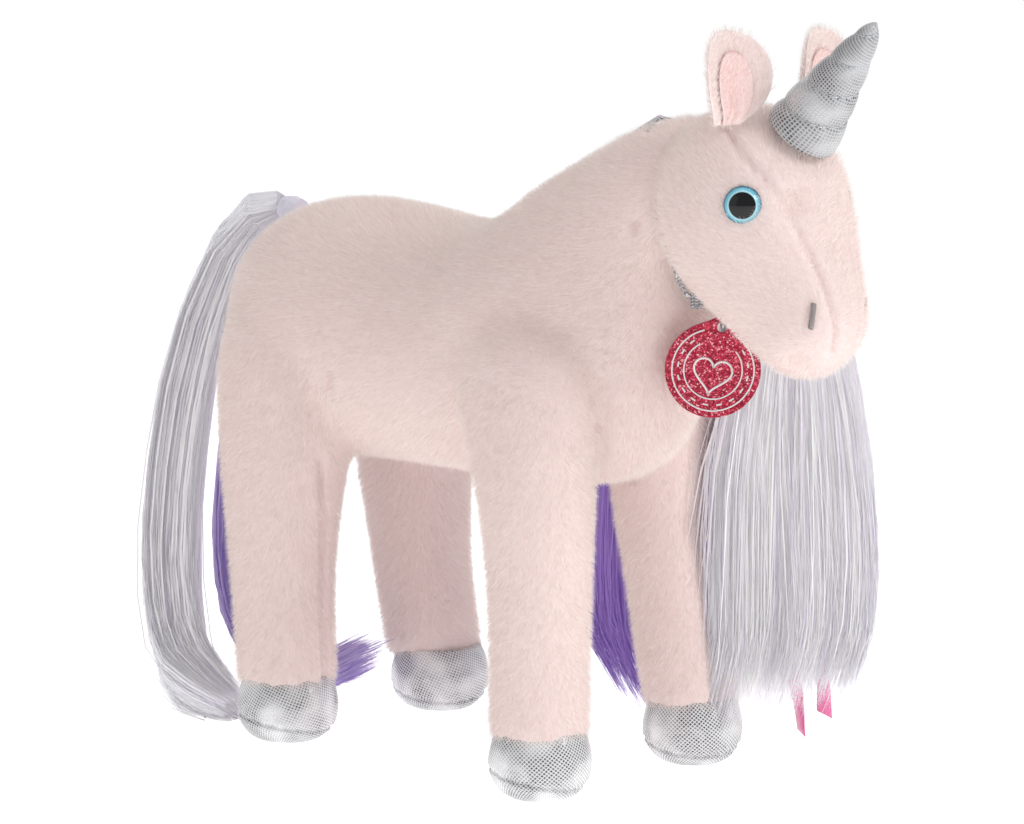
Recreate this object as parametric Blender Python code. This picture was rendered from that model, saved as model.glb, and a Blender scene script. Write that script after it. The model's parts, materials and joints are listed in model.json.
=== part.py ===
"""Plush unicorn standing on four legs, built as separate sewn covers, fillings and trims.

Millimetres inside the helpers, metres in the scene.  +X is the animal's left, -Y is forward, +Z is up.
Soles rest on z = 0.  Every object is one closed solid, and neighbours keep a small working gap.
"""
import math

import bpy
import numpy as np
from mathutils import Matrix, Vector

# ---- driving dimensions, in millimetres and degrees ----
ORIGIN_X, ORIGIN_Y = 13.141, -6.23          # centre of the whole footprint in the working frame
SEAM = 0.15                            # half gap between two covers that are sewn edge to edge
FIT = 0.3                              # gap between a cover and its filling
COVER = 2.5                            # plush and backing of the torso and head
LEG_COVER = 2.2
LEG_X = 42.0                           # leg centres from the middle plane
FORE_Y, HIND_Y = -68.0, 73.0
HIP_Z = 141.0                          # height of the four leg pivots
HEM_Z = 24.5                           # where plush meets hoof cloth
FORE_R, HIND_R = 19.6, 20.6            # leg radius just below the shoulder and hip
HOOF_WALL = 1.8
SOLE = 2.4
HEAD = Vector((0, -132, 223))          # middle of the skull ball
HEAD_R = 35.0
MUZZLE_DIR = Vector((0, -0.555, -0.832))
NECK_PIVOT = Vector((0, -116, 222))    # head nods about this point
NECK_PIN = 23.0                        # neck end radius inside the head
HORN_BASE = Vector((0, -158.2, 250.4))
HORN_TIP = Vector((0, -189.4, 287.0))
HORN_R = 12.8
HORN_TURNS = 4.0
EYE = Vector((-29.0, -153.9, 223.5))   # middle of the right eye, on the cover
EYE_R = 7.2
EAR = Vector((-22, -143.5, 252.8))       # middle of the right ear's base
EAR_H, EAR_W, EAR_T = 33.0, 30.0, 3.2
TAG = Vector((-4, -118.4, 160.8))      # middle of the hang tag
TAG_R = 17.5

PINK, LINING, STUFFING = "plush_pink", "plush_lining", "polyester_filling"
MATERIALS = {
    PINK: (0.86, 0.62, 0.62, 0.9), LINING: (0.88, 0.58, 0.6, 0.8), STUFFING: (0.9, 0.9, 0.88, 0.95),
    "silver_lame": (0.6, 0.6, 0.63, 0.3), "silver_thread": (0.7, 0.7, 0.72, 0.4),
    "eye_gloss": (0.02, 0.03, 0.04, 0.05), "washer_plastic": (0.85, 0.85, 0.82, 0.5),
    "grey_thread": (0.25, 0.22, 0.24, 0.7), "hair_white": (0.88, 0.86, 0.92, 0.35),
    "hair_purple": (0.28, 0.16, 0.55, 0.35), "hair_lavender": (0.6, 0.48, 0.8, 0.35),
    "weft_tape": (0.85, 0.75, 0.85, 0.8), "glitter_card": (0.62, 0.03, 0.1, 0.3),
    "silver_cord": (0.65, 0.65, 0.68, 0.35), "pink_satin": (0.9, 0.25, 0.5, 0.3),
}


def clear_scene():
    for old in list(bpy.data.objects):
        bpy.data.objects.remove(old, do_unlink=True)


def material(name):
    mat = bpy.data.materials.get(name)
    if mat is None:
        r, g, b, rough = MATERIALS[name]
        mat = bpy.data.materials.new(name)
        mat.use_nodes = True
        shader = mat.node_tree.nodes["Principled BSDF"]
        shader.inputs["Base Color"].default_value = (r, g, b, 1)
        shader.inputs["Roughness"].default_value = rough
        mat.diffuse_color = (r, g, b, 1)
    return mat


def solid(name, verts, faces, mat, pivot=(0, 0, 0)):
    """One closed object.  Vertices arrive in working millimetres, pivot is the joint point."""
    shift = Vector((ORIGIN_X, ORIGIN_Y, 0))
    pivot = Vector(pivot) - shift if Vector(pivot).length else Vector((0, 0, 0))
    points = [((Vector(v) - shift) - pivot) * 0.001 for v in verts]
    mesh = bpy.data.meshes.new(name)
    mesh.from_pydata(points, [], faces)
    mesh.validate()
    mesh.shade_smooth()
    obj = bpy.data.objects.new(name, mesh)
    obj.location = pivot * 0.001
    bpy.context.scene.collection.objects.link(obj)
    if mat:
        mesh.materials.append(material(mat))
    return obj


def skin_rings(rings, start=None, end=None, closed=False):
    """Vertices and faces of rings joined side by side, closed by poles, flat ends or a loop."""
    n = len(rings[0])
    verts = [v for ring in rings for v in ring]
    faces = []
    for k in range(len(rings) - (0 if closed else 1)):
        a, b = k * n, (k + 1) % len(rings) * n
        for i in range(n):
            j = (i + 1) % n
            faces.append((a + i, a + j, b + j, b + i))
    if not closed:
        last = (len(rings) - 1) * n
        if start is None:
            faces.append(tuple(range(n))[::-1])
        else:
            verts.append(start)
            faces += [(len(verts) - 1, (i + 1) % n, i) for i in range(n)]
        if end is None:
            faces.append(tuple(last + i for i in range(n)))
        else:
            verts.append(end)
            faces += [(len(verts) - 1, last + i, last + (i + 1) % n) for i in range(n)]
    return verts, faces


def face_outward(verts, faces):
    """Flip the winding if the signed volume is negative."""
    volume = 0.0
    for face in faces:
        a = Vector(verts[face[0]])
        for p, q in zip(face[1:-1], face[2:]):
            volume += a.dot(Vector(verts[p]).cross(Vector(verts[q])))
    return faces if volume > 0 else [f[::-1] for f in faces]


def loft(name, rings, mat, start=None, end=None, pivot=(0, 0, 0), closed=False):
    verts, faces = skin_rings(rings, start, end, closed)
    return solid(name, verts, face_outward(verts, faces), mat, pivot)


def helper(obj):
    obj.hide_render = True
    obj.display_type = "WIRE"
    return obj


def boolean(obj, tool, operation="DIFFERENCE"):
    mod = obj.modifiers.new(operation.title(), "BOOLEAN")
    mod.operation = operation
    mod.solver = "EXACT"
    mod.object = tool
    return mod


def lathe_rings(profile, centre, axis, sides, start=0.0):
    """Rings of (radius, height) about an axis through centre."""
    axis = Vector(axis).normalized()
    side = axis.orthogonal().normalized()
    other = axis.cross(side)
    rings = []
    for r, h in profile:
        ring = []
        for i in range(sides):
            t = start + 2 * math.pi * i / sides
            ring.append(Vector(centre) + axis * h + side * (r * math.cos(t)) + other * (r * math.sin(t)))
        rings.append(ring)
    return rings


def lathe(name, profile, centre, axis, sides, mat, pivot=(0, 0, 0)):
    """Solid of revolution.  A profile that starts or ends at radius 0 closes with a pole."""
    centre, unit = Vector(centre), Vector(axis).normalized()
    start = centre + unit * profile[0][1] if profile[0][0] == 0 else None
    end = centre + unit * profile[-1][1] if profile[-1][0] == 0 else None
    middle = [p for p in profile if p[0] > 0]
    return loft(name, lathe_rings(middle, centre, axis, sides), mat, start, end, pivot)


def sphere(name, centre, radius, mat=None, sides=24, rows=12):
    profile = [(radius * math.sin(math.pi * k / rows), -radius * math.cos(math.pi * k / rows))
               for k in range(rows + 1)]
    profile[0], profile[-1] = (0, -radius), (0, radius)
    return lathe(name, profile, centre, (0, 0, 1), sides, mat)


def box(name, low, high, matrix=None):
    corners = [Vector((x, y, z)) for z in (low[2], high[2])
               for x, y in ((low[0], low[1]), (high[0], low[1]), (high[0], high[1]), (low[0], high[1]))]
    if matrix:
        corners = [matrix @ c for c in corners]
    faces = [(0, 3, 2, 1), (4, 5, 6, 7), (0, 1, 5, 4), (1, 2, 6, 5), (2, 3, 7, 6), (3, 0, 4, 7)]
    return helper(solid(name, corners, face_outward(corners, faces), None))


def smooth_path(keys, count):
    """Catmull-Rom samples through the key points."""
    keys = np.array(keys, float)
    ext = np.vstack([2 * keys[0] - keys[1], keys, 2 * keys[-1] - keys[-2]])
    out = []
    for s in np.linspace(0, len(keys) - 1, count):
        k = min(int(s), len(keys) - 2)
        t = s - k
        p0, p1, p2, p3 = ext[k:k + 4]
        out.append(0.5 * (2 * p1 + (p2 - p0) * t + (2 * p0 - 5 * p1 + 4 * p2 - p3) * t * t
                          + (3 * p1 - p0 - 3 * p2 + p3) * t ** 3))
    return [Vector(p) for p in out]


def tube(name, path, radius, sides, mat, closed=False, pivot=(0, 0, 0), flat=1.0, up=None):
    """A cord or ribbon swept along a path.  flat squashes it across the up direction."""
    rings, n = [], len(path)
    side = None
    for k in range(n):
        ahead = path[(k + 1) % n] if closed or k < n - 1 else path[k]
        behind = path[k - 1] if closed or k > 0 else path[k]
        tangent = (ahead - behind).normalized()
        if up is not None:
            side = tangent.cross(Vector(up)).normalized()
        elif side is None:
            side = tangent.orthogonal().normalized()
        else:
            side = (side - tangent * side.dot(tangent)).normalized()
        other = tangent.cross(side)
        rings.append([path[k] + side * (radius * math.cos(2 * math.pi * i / sides))
                      + other * (radius * flat * math.sin(2 * math.pi * i / sides)) for i in range(sides)])
    return loft(name, rings, mat, pivot=pivot, closed=closed)


# ---- torso and neck: one outer form, sewn from two side covers and a chest and belly gusset ----
# centre y, centre z, lean, height above, height below, half width
TORSO = [
    (119.5, 170, 0, 15, 17, 15), (114, 168.5, 0, 27, 29, 29), (104, 166, 0, 41, 41, 44),
    (88, 163, 0, 50, 49, 53), (70, 162, 0, 53, 51, 57), (45, 161, 0, 52, 50, 56),
    (18, 160, 0, 49.5, 49, 54), (-10, 160, 5, 49, 50, 53), (-32, 163, 15, 53, 55, 52),
    (-50, 172, 28, 52, 62, 48), (-62, 187, 38, 47, 58, 42), (-74, 202, 42, 40, 46, 36),
    (-86, 213, 36, 34.5, 34, 32), (-96, 221, 14, 30.5, 28, 30), (-100, 225, 3, 30, 26, 29),
]


def torso_form(name, inset, sides):
    """The torso's form, drawn in by an inset, with the narrow neck end that plugs into the head."""
    rings = []
    for y, z, lean, up, down, wide in TORSO:
        up, down, wide = up - inset, down - inset, wide - inset
        s, c = math.sin(math.radians(lean)), math.cos(math.radians(lean))
        back = inset if y > 100 else -inset if y < -90 else 0
        ring = []
        for i in range(sides):
            t = 2 * math.pi * i / sides
            h = (up if math.cos(t) > 0 else down) * math.copysign(abs(math.cos(t)) ** 0.93, math.cos(t))
            x = wide * math.copysign(abs(math.sin(t)) ** 0.93, math.sin(t))
            ring.append(Vector((x, y + s * h - back, z + c * h)))
        rings.append(ring)
    pin = NECK_PIN - inset
    stations = [(-103.5 + inset, pin), (-116, pin)]
    stations += [(-116 - pin * math.sin(a), pin * math.cos(a)) for a in (0.45, 0.9, 1.25)]
    for y, r in stations:
        rings.append([Vector((r * math.sin(2 * math.pi * i / sides), y, 222 + r * math.cos(2 * math.pi * i / sides)))
                      for i in range(sides)])
    rump = Vector((0, 121 - inset, 170))
    crown = Vector((0, -116 - pin, 222))
    return loft(name, rings, None, start=rump, end=crown)


def leg_pockets():
    """Room for the four leg tops and for their swing."""
    pockets = []
    for tag_name, y, r in (("fore", FORE_Y, FORE_R + 1.4), ("hind", HIND_Y, HIND_R + 1.4)):
        for side in (-1, 1):
            x = side * LEG_X
            rings = []
            for h, long, wide in ((-46, r + 11, r), (-20, r + 4.5, r), (0, r, r)):
                rings.append([Vector((x + wide * math.cos(2 * math.pi * i / 20),
                                      y + long * math.sin(2 * math.pi * i / 20), HIP_Z + h)) for i in range(20)])
            for a in (0.4, 0.8, 1.2):
                rings.append([Vector((x + r * math.cos(a) * math.cos(2 * math.pi * i / 20),
                                      y + r * math.cos(a) * math.sin(2 * math.pi * i / 20),
                                      HIP_Z + r * math.sin(a))) for i in range(20)])
            name = f"pocket_{tag_name}_{'right' if side < 0 else 'left'}"
            pockets.append(helper(loft(name, rings, None, end=Vector((x, y, HIP_Z + r)))))
    return pockets


def make_torso():
    pockets = leg_pockets()
    inner = helper(torso_form("torso_inside", COVER, 20))
    gusset_low, gusset_high = (-28, -125, 90), (28, 92, 131)
    for side, label in ((-1, "right"), (1, "left")):
        cover = torso_form(f"torso_cover_{label}", 0, 20)
        cover.data.materials.append(material(PINK))
        low, high = ((-90, -150, 80), (-SEAM, 140, 280)) if side < 0 else ((SEAM, -150, 80), (90, 140, 280))
        boolean(cover, box(f"half_{label}", low, high), "INTERSECT")
        boolean(cover, inner)
        if side < 0:
            room = box("gusset_room", (-28 - 2 * SEAM, -140, 85), (28 + 2 * SEAM, 92 + 2 * SEAM, 131 + 2 * SEAM))
        boolean(cover, room)
        for pocket in pockets:
            if (pocket.name.endswith("right")) == (side < 0):
                boolean(cover, pocket)
    gusset = torso_form("belly_gusset", 0, 20)
    gusset.data.materials.append(material(PINK))
    boolean(gusset, box("gusset_span", gusset_low, gusset_high), "INTERSECT")
    boolean(gusset, inner)
    filling = torso_form("torso_filling", COVER + 2 * FIT, 20)
    filling.data.materials.append(material(STUFFING))
    for pocket in pockets:
        boolean(gusset, pocket)
        boolean(filling, pocket)


# ---- legs: a plush tube with a rounded top, its filling, and a hoof of cloth with a sole ----
def leg_profile(r, inset):
    """Radius and height from the hem to the rounded top."""
    rows = [(r - 0.2, HEM_Z), (r - 0.6, 34), (r - 0.9, 62), (r - 0.4, 95), (r, 120), (r, HIP_Z)]
    rows += [(r * math.cos(a), HIP_Z + r * math.sin(a)) for a in (0.45, 0.9, 1.25)]
    out = []
    for radius, z in rows:
        if z > HIP_Z:
            k = (r - inset) / r
            out.append((radius * k, HIP_Z + (z - HIP_Z) * k))
        else:
            out.append((radius - inset, z))
    out.append((0, HIP_Z + r - inset))
    return out


def make_leg(label, x, y, r):
    pivot = Vector((x, y, HIP_Z))
    centre = (x, y, 0)
    outer, inner = leg_profile(r, 0), leg_profile(r, LEG_COVER)
    wall = lathe_rings([p for p in inner if p[0] > 0], centre, (0, 0, 1), 14)[::-1]
    wall += lathe_rings([p for p in outer if p[0] > 0], centre, (0, 0, 1), 14)
    loft(f"leg_cover_{label}", wall, PINK, Vector((x, y, inner[-1][1])), Vector((x, y, outer[-1][1])), pivot)
    fill = [(r - 8.0, SOLE + FIT + 0.2), (r - 4.8, 6.5), (r - 3.2, 13), (r - 3.6, 20), (r - 4.9, HEM_Z),
            (r - 3.2, HEM_Z + 1)]
    fill += [(a - FIT, b) for a, b in inner[1:-1]] + [(0, inner[-1][1] - FIT)]
    lathe(f"leg_filling_{label}", fill, centre, (0, 0, 1), 14, STUFFING, pivot)
    hoof = [(r - 5.2, SOLE + FIT), (r - 2.2, 6), (r - 0.7, 13), (r - 1.2, 20), (r - 2.4, HEM_Z - FIT)]
    inside = [(a - HOOF_WALL, b) for a, b in hoof[::-1]]
    rings = lathe_rings(hoof + inside, (x, y, 0), (0, 0, 1), 16)
    loft(f"hoof_wall_{label}", rings, "silver_lame", pivot=pivot, closed=True)
    sole = [(r - 7.2, 0), (r - 6.0, 0.5), (r - 5.4, SOLE - 0.4), (r - 6.2, SOLE)]
    rings = lathe_rings(sole, (x, y, 0), (0, 0, 1), 16)
    loft(f"hoof_sole_{label}", rings, "silver_lame", pivot=pivot)


# ---- head: two side covers and a face gusset over a filling, hollow at the back for the neck ----
# distance along the head, radius
HEAD_ROWS = [(-32, 14.5), (-27, 22.5), (-17, 30.8), (-4, 34.8), (9, 34.6), (21, 31.8), (33, 28), (45, 24.6),
             (56, 21), (64, 16.6), (69, 11)]


def head_frame():
    up = MUZZLE_DIR.normalized()
    out = Vector((0, -0.832, 0.555))
    return Matrix.Translation(HEAD) @ Matrix(((1, 0, 0), (0, out.y, up.y), (0, out.z, up.z))).to_4x4()


def head_form(name, inset, sides=20):
    place = head_frame()
    rings = []
    for s, r in HEAD_ROWS:
        s = min(max(s, -HEAD_R + inset + 3), 71.5 - inset - 2.2)
        wide = (r - inset) * (1.0 if s < 30 else 1.0 - 0.004 * (s - 30))
        rings.append([place @ Vector((wide * math.sin(2 * math.pi * i / sides),
                                      (r - inset) * math.cos(2 * math.pi * i / sides), s)) for i in range(sides)])
    return loft(name, rings, None, place @ Vector((0, 0, -HEAD_R + inset)), place @ Vector((0, 0, 71.5 - inset)))


def neck_socket():
    """The hollow at the back of the head that the neck end turns in."""
    r = NECK_PIN + 1.6
    rings = []
    for y in (-80, -100, -116):
        rings.append([Vector((r * math.sin(2 * math.pi * i / 20), y, 222 + r * math.cos(2 * math.pi * i / 20)))
                      for i in range(20)])
    for a in (0.4, 0.8, 1.2):
        rings.append([Vector((r * math.cos(a) * math.sin(2 * math.pi * i / 20), -116 - r * math.sin(a),
                              222 + r * math.cos(a) * math.cos(2 * math.pi * i / 20))) for i in range(20)])
    return helper(loft("neck_socket", rings, None, end=Vector((0, -116 - r, 222))))


def make_head():
    place = head_frame()
    socket = neck_socket()
    inner = helper(head_form("head_inside", COVER))
    eye_axis = (EYE - HEAD).normalized()
    parts = []
    for side, label in ((-1, "right"), (1, "left")):
        cover = head_form(f"head_cover_{label}", 0)
        cover.data.materials.append(material(PINK))
        cover.matrix_world = Matrix.Identity(4)
        low, high = ((-60, -230, 130), (-SEAM, -80, 280)) if side < 0 else ((SEAM, -230, 130), (60, -80, 280))
        boolean(cover, box(f"head_half_{label}", low, high), "INTERSECT")
        boolean(cover, inner)
        if side < 0:
            room = box("face_room", (-11 - 2 * SEAM, 4 - 2 * SEAM, -45), (11 + 2 * SEAM, 60, 90), place)
        boolean(cover, room)
        boolean(cover, socket)
        parts.append(cover)
    face = head_form("face_gusset", 0)
    face.data.materials.append(material(PINK))
    boolean(face, box("face_span", (-11, 4, -45), (11, 60, 90), place), "INTERSECT")
    boolean(face, inner)
    filling = head_form("head_filling", COVER + FIT)
    filling.data.materials.append(material(STUFFING))
    boolean(filling, socket)
    for k, (side, label) in enumerate(((-1, "right"), (1, "left"))):
        at = Vector((EYE.x * -side, EYE.y, EYE.z))
        axis = Vector((eye_axis.x * -side, eye_axis.y, eye_axis.z))
        bead = [(0, -9.5), (1.5, -9.5), (1.5, 0.5), (EYE_R - 0.6, 0.5), (EYE_R, 1.1), (EYE_R - 0.5, 2.3),
                (5.2, 3.6), (2.8, 4.4), (0, 4.7)]
        lathe(f"eye_{label}", bead, at, axis, 16, "eye_gloss")
        ring = lathe_rings([(1.8, -6.7), (5.0, -6.7), (5.0, -5.5), (1.8, -5.5)], at, axis, 14)
        loft(f"eye_washer_{label}", ring, "washer_plastic", closed=True)
        hole = helper(lathe(f"eye_hole_{label}", [(0, -8), (2.1, -8), (2.1, 5), (0, 5)], at, axis, 12, None))
        seat = helper(lathe(f"eye_seat_{label}", [(0, -11), (2.4, -11), (2.4, -7.2), (5.6, -7.2), (5.6, 4), (0, 4)],
                            at, axis, 14, None))
        boolean(parts[k], hole)
        boolean(filling, seat)


def make_horn():
    axis = (HORN_TIP - HORN_BASE).normalized()
    length = (HORN_TIP - HORN_BASE).length
    side = Vector((1, 0, 0))
    other = axis.cross(side)

    def radius(h, t):
        u = h / length
        taper = HORN_R * (1 - u) ** 0.85 * 0.86 + 2.0
        puff = abs(math.sin(math.pi * (HORN_TURNS * u) - t / 2))
        return taper - 1.1 * (1 - puff) ** 2 * (1 - 0.6 * u)

    sides, rows = 14, 17
    outer, inner = [], []
    for k in range(rows):
        h = length * 0.965 * k / (rows - 1)
        outer.append([HORN_BASE + axis * h + side * (radius(h, t) * math.cos(t)) + other * (radius(h, t) * math.sin(t))
                      for t in (2 * math.pi * i / sides for i in range(sides))])
    for h in (0, length * 0.3, length * 0.6, length * 0.85):
        r = HORN_R * (1 - h / length) ** 0.85 * 0.86 + 2.0 - 2.4
        inner.append([HORN_BASE + axis * h + side * (r * math.cos(t)) + other * (r * math.sin(t))
                      for t in (2 * math.pi * i / sides for i in range(sides))])
    loft("horn_cover", inner[::-1] + outer, "silver_lame", HORN_BASE + axis * (length * 0.88), HORN_TIP)
    fill = [[v + (HORN_BASE + axis * ((v - HORN_BASE).dot(axis)) - v) * 0.07 for v in ring] for ring in inner]
    loft("horn_filling", fill, STUFFING, end=HORN_BASE + axis * (length * 0.87))
    path = []
    for k in range(41):
        u = 0.02 + 0.9 * k / 40
        t = 2 * math.pi * HORN_TURNS * u
        r = radius(u * length, t) + 1.5
        path.append(HORN_BASE + axis * (u * length) + side * (r * math.cos(t)) + other * (r * math.sin(t)))
    tube("horn_thread", path, 0.35, 5, "silver_thread")


def make_ear(label, mirror):
    """A cupped plush leaf with a thin lining leaf in front, both turning about the base line."""
    out = Vector((-0.1 * mirror, -0.995, 0)).normalized()
    wide = Vector((out.y, -out.x, 0)) * -1
    base = Vector((EAR.x * mirror, EAR.y, EAR.z))
    rise = (Vector((0, 0, 1)) + Vector((-0.1 * mirror, -0.02, 0))).normalized()
    widths = [(-0.14, 0.26, 6.5), (0.0, 0.46, 2.5), (0.11, 0.7, 0.3), (0.32, 0.95, 0), (0.55, 1.0, 0),
              (0.74, 0.86, 0), (0.88, 0.6, 0), (0.97, 0.3, 0)]

    def leaf(name, shift, thick, scale, mat):
        rings = []
        for h, w, lateral in widths:
            half = EAR_W / 2 * w * scale
            t = thick * (1 - 0.45 * h)
            down = -Vector((mirror, 0, 0)) * lateral
            ring = []
            for i in range(10):
                a = 2 * math.pi * i / 10
                x = half * math.cos(a)
                bow = 0.012 * x * x
                ring.append(base + down + rise * (h * EAR_H * (0.5 + scale / 2)) + wide * x
                            + out * (shift + bow + t / 2 * math.sin(a)))
            rings.append(ring)
        top = base + rise * (EAR_H * (0.5 + scale / 2) * 1.0) + out * shift
        loft(name, rings, mat, end=top, pivot=base)

    leaf(f"ear_outer_{label}", -EAR_T / 2, EAR_T, 1.0, PINK)
    leaf(f"ear_lining_{label}", 1.3, 1.6, 0.82, LINING)


def make_nostril(label, mirror):
    at = Vector((-14.6 * mirror, -175.6, 185.5))
    normal = (at - Vector((0, -161, 181))).normalized()
    down = Vector((0.15 * mirror, 0.25, -1))
    down = (down - normal * down.dot(normal)).normalized()
    path = [at + normal * (1.0 - 0.022 * s * s) + down * s for s in (-3.6, -1.8, 0, 1.8, 3.6)]
    tube(f"nostril_stitch_{label}", path, 0.5, 6, "grey_thread")


# ---- hair: locks made as flattened bundles between a front and a back edge ----
def curtain(name, front, back, thick, mat, rows, pivot, columns=6):
    """A lock that hangs between two edges.  thick is a list of half thicknesses from root to tip."""
    a, b = smooth_path(front, rows), smooth_path(back, rows)
    rings = []
    for k in range(rows):
        u = k / (rows - 1) * (len(thick) - 1)
        j = min(int(u), len(thick) - 2)
        t = thick[j] + (thick[j + 1] - thick[j]) * (u - j)
        ahead = (a[min(k + 1, rows - 1)] + b[min(k + 1, rows - 1)]) - (a[max(k - 1, 0)] + b[max(k - 1, 0)])
        normal = (b[k] - a[k]).cross(ahead).normalized()
        if normal.x < 0:
            normal.negate()
        near = [a[k].lerp(b[k], c / (columns - 1)) for c in range(columns)]
        swell = [0.55 + 0.45 * math.sin(math.pi * c / (columns - 1)) for c in range(columns)]
        ring = [p + normal * (t * s) for p, s in zip(near, swell)]
        ring += [p - normal * (t * s) for p, s in zip(near[::-1], swell[::-1])]
        rings.append(ring)
    return loft(name, rings, mat, pivot=pivot)


MANE_PIVOT = Vector((13, -60, 240))


def make_mane():
    white_front = [(14, -99, 258.5), (31, -104, 249), (44, -110, 231), (54, -116, 205), (64, -123, 172),
                   (70, -130, 125), (71, -134, 75), (70, -132, 36), (69, -118, 7)]
    white_back = [(14, -34, 231.5), (38, -34, 226), (54, -32, 212), (66, -30, 190), (73, -28, 160),
                  (75.5, -28, 120), (75.5, -30, 75), (75, -36, 40), (73, -48, 6)]
    curtain("mane_white", white_front, white_back, [1.4, 2.6, 3.2, 3.4, 3.4, 3.0, 1.8], "hair_white", 15,
            MANE_PIVOT, 7)
    purple_front = [(12.5, -62, 241), (33, -62, 231), (47, -60, 212), (56.5, -58, 190), (63, -56, 160),
                    (66.6, -54, 120), (67.2, -54, 75), (67.2, -56, 35), (67, -62, 8)]
    purple_back = [(14, -22, 218.5), (37, -16, 209.5), (50, -10, 194), (59, -4, 175), (64.5, 2, 152),
                   (67, 15, 115), (67.6, 20, 70), (67.6, 16, 38), (67.4, -14, 6)]
    curtain("mane_purple", purple_front, purple_back, [1.0, 1.5, 1.7, 1.7, 1.7, 1.5, 1.0], "hair_purple", 15,
            MANE_PIVOT, 5)
    weft = [(9.5, -80, 250.6), (9.5, -70, 245.6), (9.5, -52, 235.5), (9.5, -36, 226.6), (9.5, -22, 218.2)]
    tube("mane_weft", smooth_path(weft, 12), 1.6, 8, "weft_tape", flat=0.4, up=(0.25, 0, 1))
    ribbon = [(80, -80, 24), (80.8, -70, 54), (81, -62, 86), (81.4, -72, 100), (81, -83, 86), (80.4, -92, 50),
              (78.5, -101, 10)]
    tube("mane_ribbon", smooth_path(ribbon, 22), 3.0, 8, "pink_satin", flat=0.12, up=(1, 0, 0), pivot=MANE_PIVOT)
    sphere_like = [(0, -2.6), (2.6, -1.6), (3.4, 0), (2.6, 1.6), (0, 2.6)]
    lathe("ribbon_knot", sphere_like, (85.4, -72, 100), (0, 1, 0.2), 10, "pink_satin", MANE_PIVOT)


TAIL_PIVOT = Vector((0, 113, 206))


def lock(name, path, wide, thick, mat, rows, pivot, across=Vector((1, -1, 0))):
    """A tapering bundle along a path with widths and thicknesses from root to tip."""
    points = smooth_path(path, rows)
    rings = []
    for k, p in enumerate(points):
        u = k / (rows - 1)
        w = float(np.interp(u, np.linspace(0, 1, len(wide)), wide))
        t = float(np.interp(u, np.linspace(0, 1, len(thick)), thick))
        tangent = (points[min(k + 1, rows - 1)] - points[max(k - 1, 0)]).normalized()
        out = tangent.cross(across.normalized()).normalized()
        side = out.cross(tangent).normalized()
        rings.append([p + out * (w * math.cos(2 * math.pi * i / 10)) + side * (t * math.sin(2 * math.pi * i / 10))
                      for i in range(10)])
    return loft(name, rings, mat, pivot=pivot)


def make_tail():
    white = [(0, 122, 209), (-4, 137, 202), (-9, 151, 178), (-14, 161, 140), (-17, 165, 105), (-21, 165, 66),
             (-25, 157, 32), (-28, 143, 15), (-28, 127, 8.5)]
    lock("tail_white", white, [4.5, 7, 10, 12, 13, 13, 12, 9, 5], [4, 7, 10, 11, 11, 11, 10, 7, 3.5], "hair_white",
         18, TAIL_PIVOT)
    inner = [(2, 121.5, 199.5), (0, 127, 188), (-2, 134, 166), (-5, 141, 136), (-7, 146, 104), (-9, 147, 70),
             (-10, 143, 42), (-8, 132, 24), (-5, 116, 16), (-1, 98, 18)]
    lock("tail_lavender", inner, [2.6, 4, 5, 6, 6, 6, 6, 5, 4.5, 3.5], [3, 4.5, 6, 6, 6, 6, 6, 5, 4, 3],
         "hair_lavender", 18, TAIL_PIVOT)
    wrap = [(0, -5), (5.0, -4.4), (5.8, 0), (5.0, 4.6), (0, 5)]
    lathe("tail_wrap", wrap, (0, 114.6, 206.5), (0, 0.93, 0.1), 12, "hair_white", TAIL_PIVOT)


# ---- trims at the throat: neck cord, knot, tag loop and a two leaf hang tag ----
def make_throat():
    a, b = Vector((0, -89, 253.6)), Vector((-3, -108, 184.8))
    middle, half = (a + b) / 2, (a - b) / 2
    path = []
    for k in range(36):
        t = 2 * math.pi * k / 36
        path.append(middle + half * (1.01 * math.cos(t)) + Vector((1, 0, 0)) * (33.6 * math.sin(t)))
    tube("neck_cord", path, 0.9, 6, "silver_cord", closed=True)
    out = Vector((-0.707, -0.707, 0))
    across = Vector((0.707, -0.707, 0))
    knot = [(0, -3.2), (2.0, -2.6), (2.4, 0), (2.0, 2.6), (0, 3.2)]
    at = Vector((-5.8, -112.0, 185.7))
    lathe("cord_knot", knot, at, (0, 0, 1), 10, "silver_cord")
    tilt = Matrix.Rotation(math.radians(-12), 3, out)
    hole = TAG + tilt @ Vector((0, 0, TAG_R - 1.6))
    pivot = hole + Vector((0, 0, 5.8))
    loop = []
    for k in range(14):
        t = 2 * math.pi * k / 14
        loop.append(hole.lerp(pivot, 0.5) + out * (2.6 * math.sin(t)) + Vector((0, 0, 1)) * (2.9 * math.cos(t)))
    tube("tag_loop", loop, 0.55, 6, "silver_cord", closed=True, pivot=pivot)
    for name, shift in (("tag_front", 0.75), ("tag_back", -0.75)):
        rings = []
        outline = [(TAG_R * math.sin(2 * math.pi * i / 28), TAG_R * math.cos(2 * math.pi * i / 28)) for i in range(28)]
        outline = [(x, z + (2.6 * math.exp(-(x / 4.2) ** 2) if z > 0 else 0)) for x, z in outline]
        for d in (shift - 0.45, shift + 0.45):
            rings.append([TAG + tilt @ (across * x + Vector((0, 0, 1)) * z) + out * d for x, z in outline])
        leaf = loft(name, rings, "glitter_card", pivot=pivot)
        punch = bpy.data.objects.get("tag_punch")
        if punch is None:
            punch = helper(lathe("tag_punch", [(0, -6), (1.9, -6), (1.9, 6), (0, 6)], hole, out, 12, None))
        boolean(leaf, punch)


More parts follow.
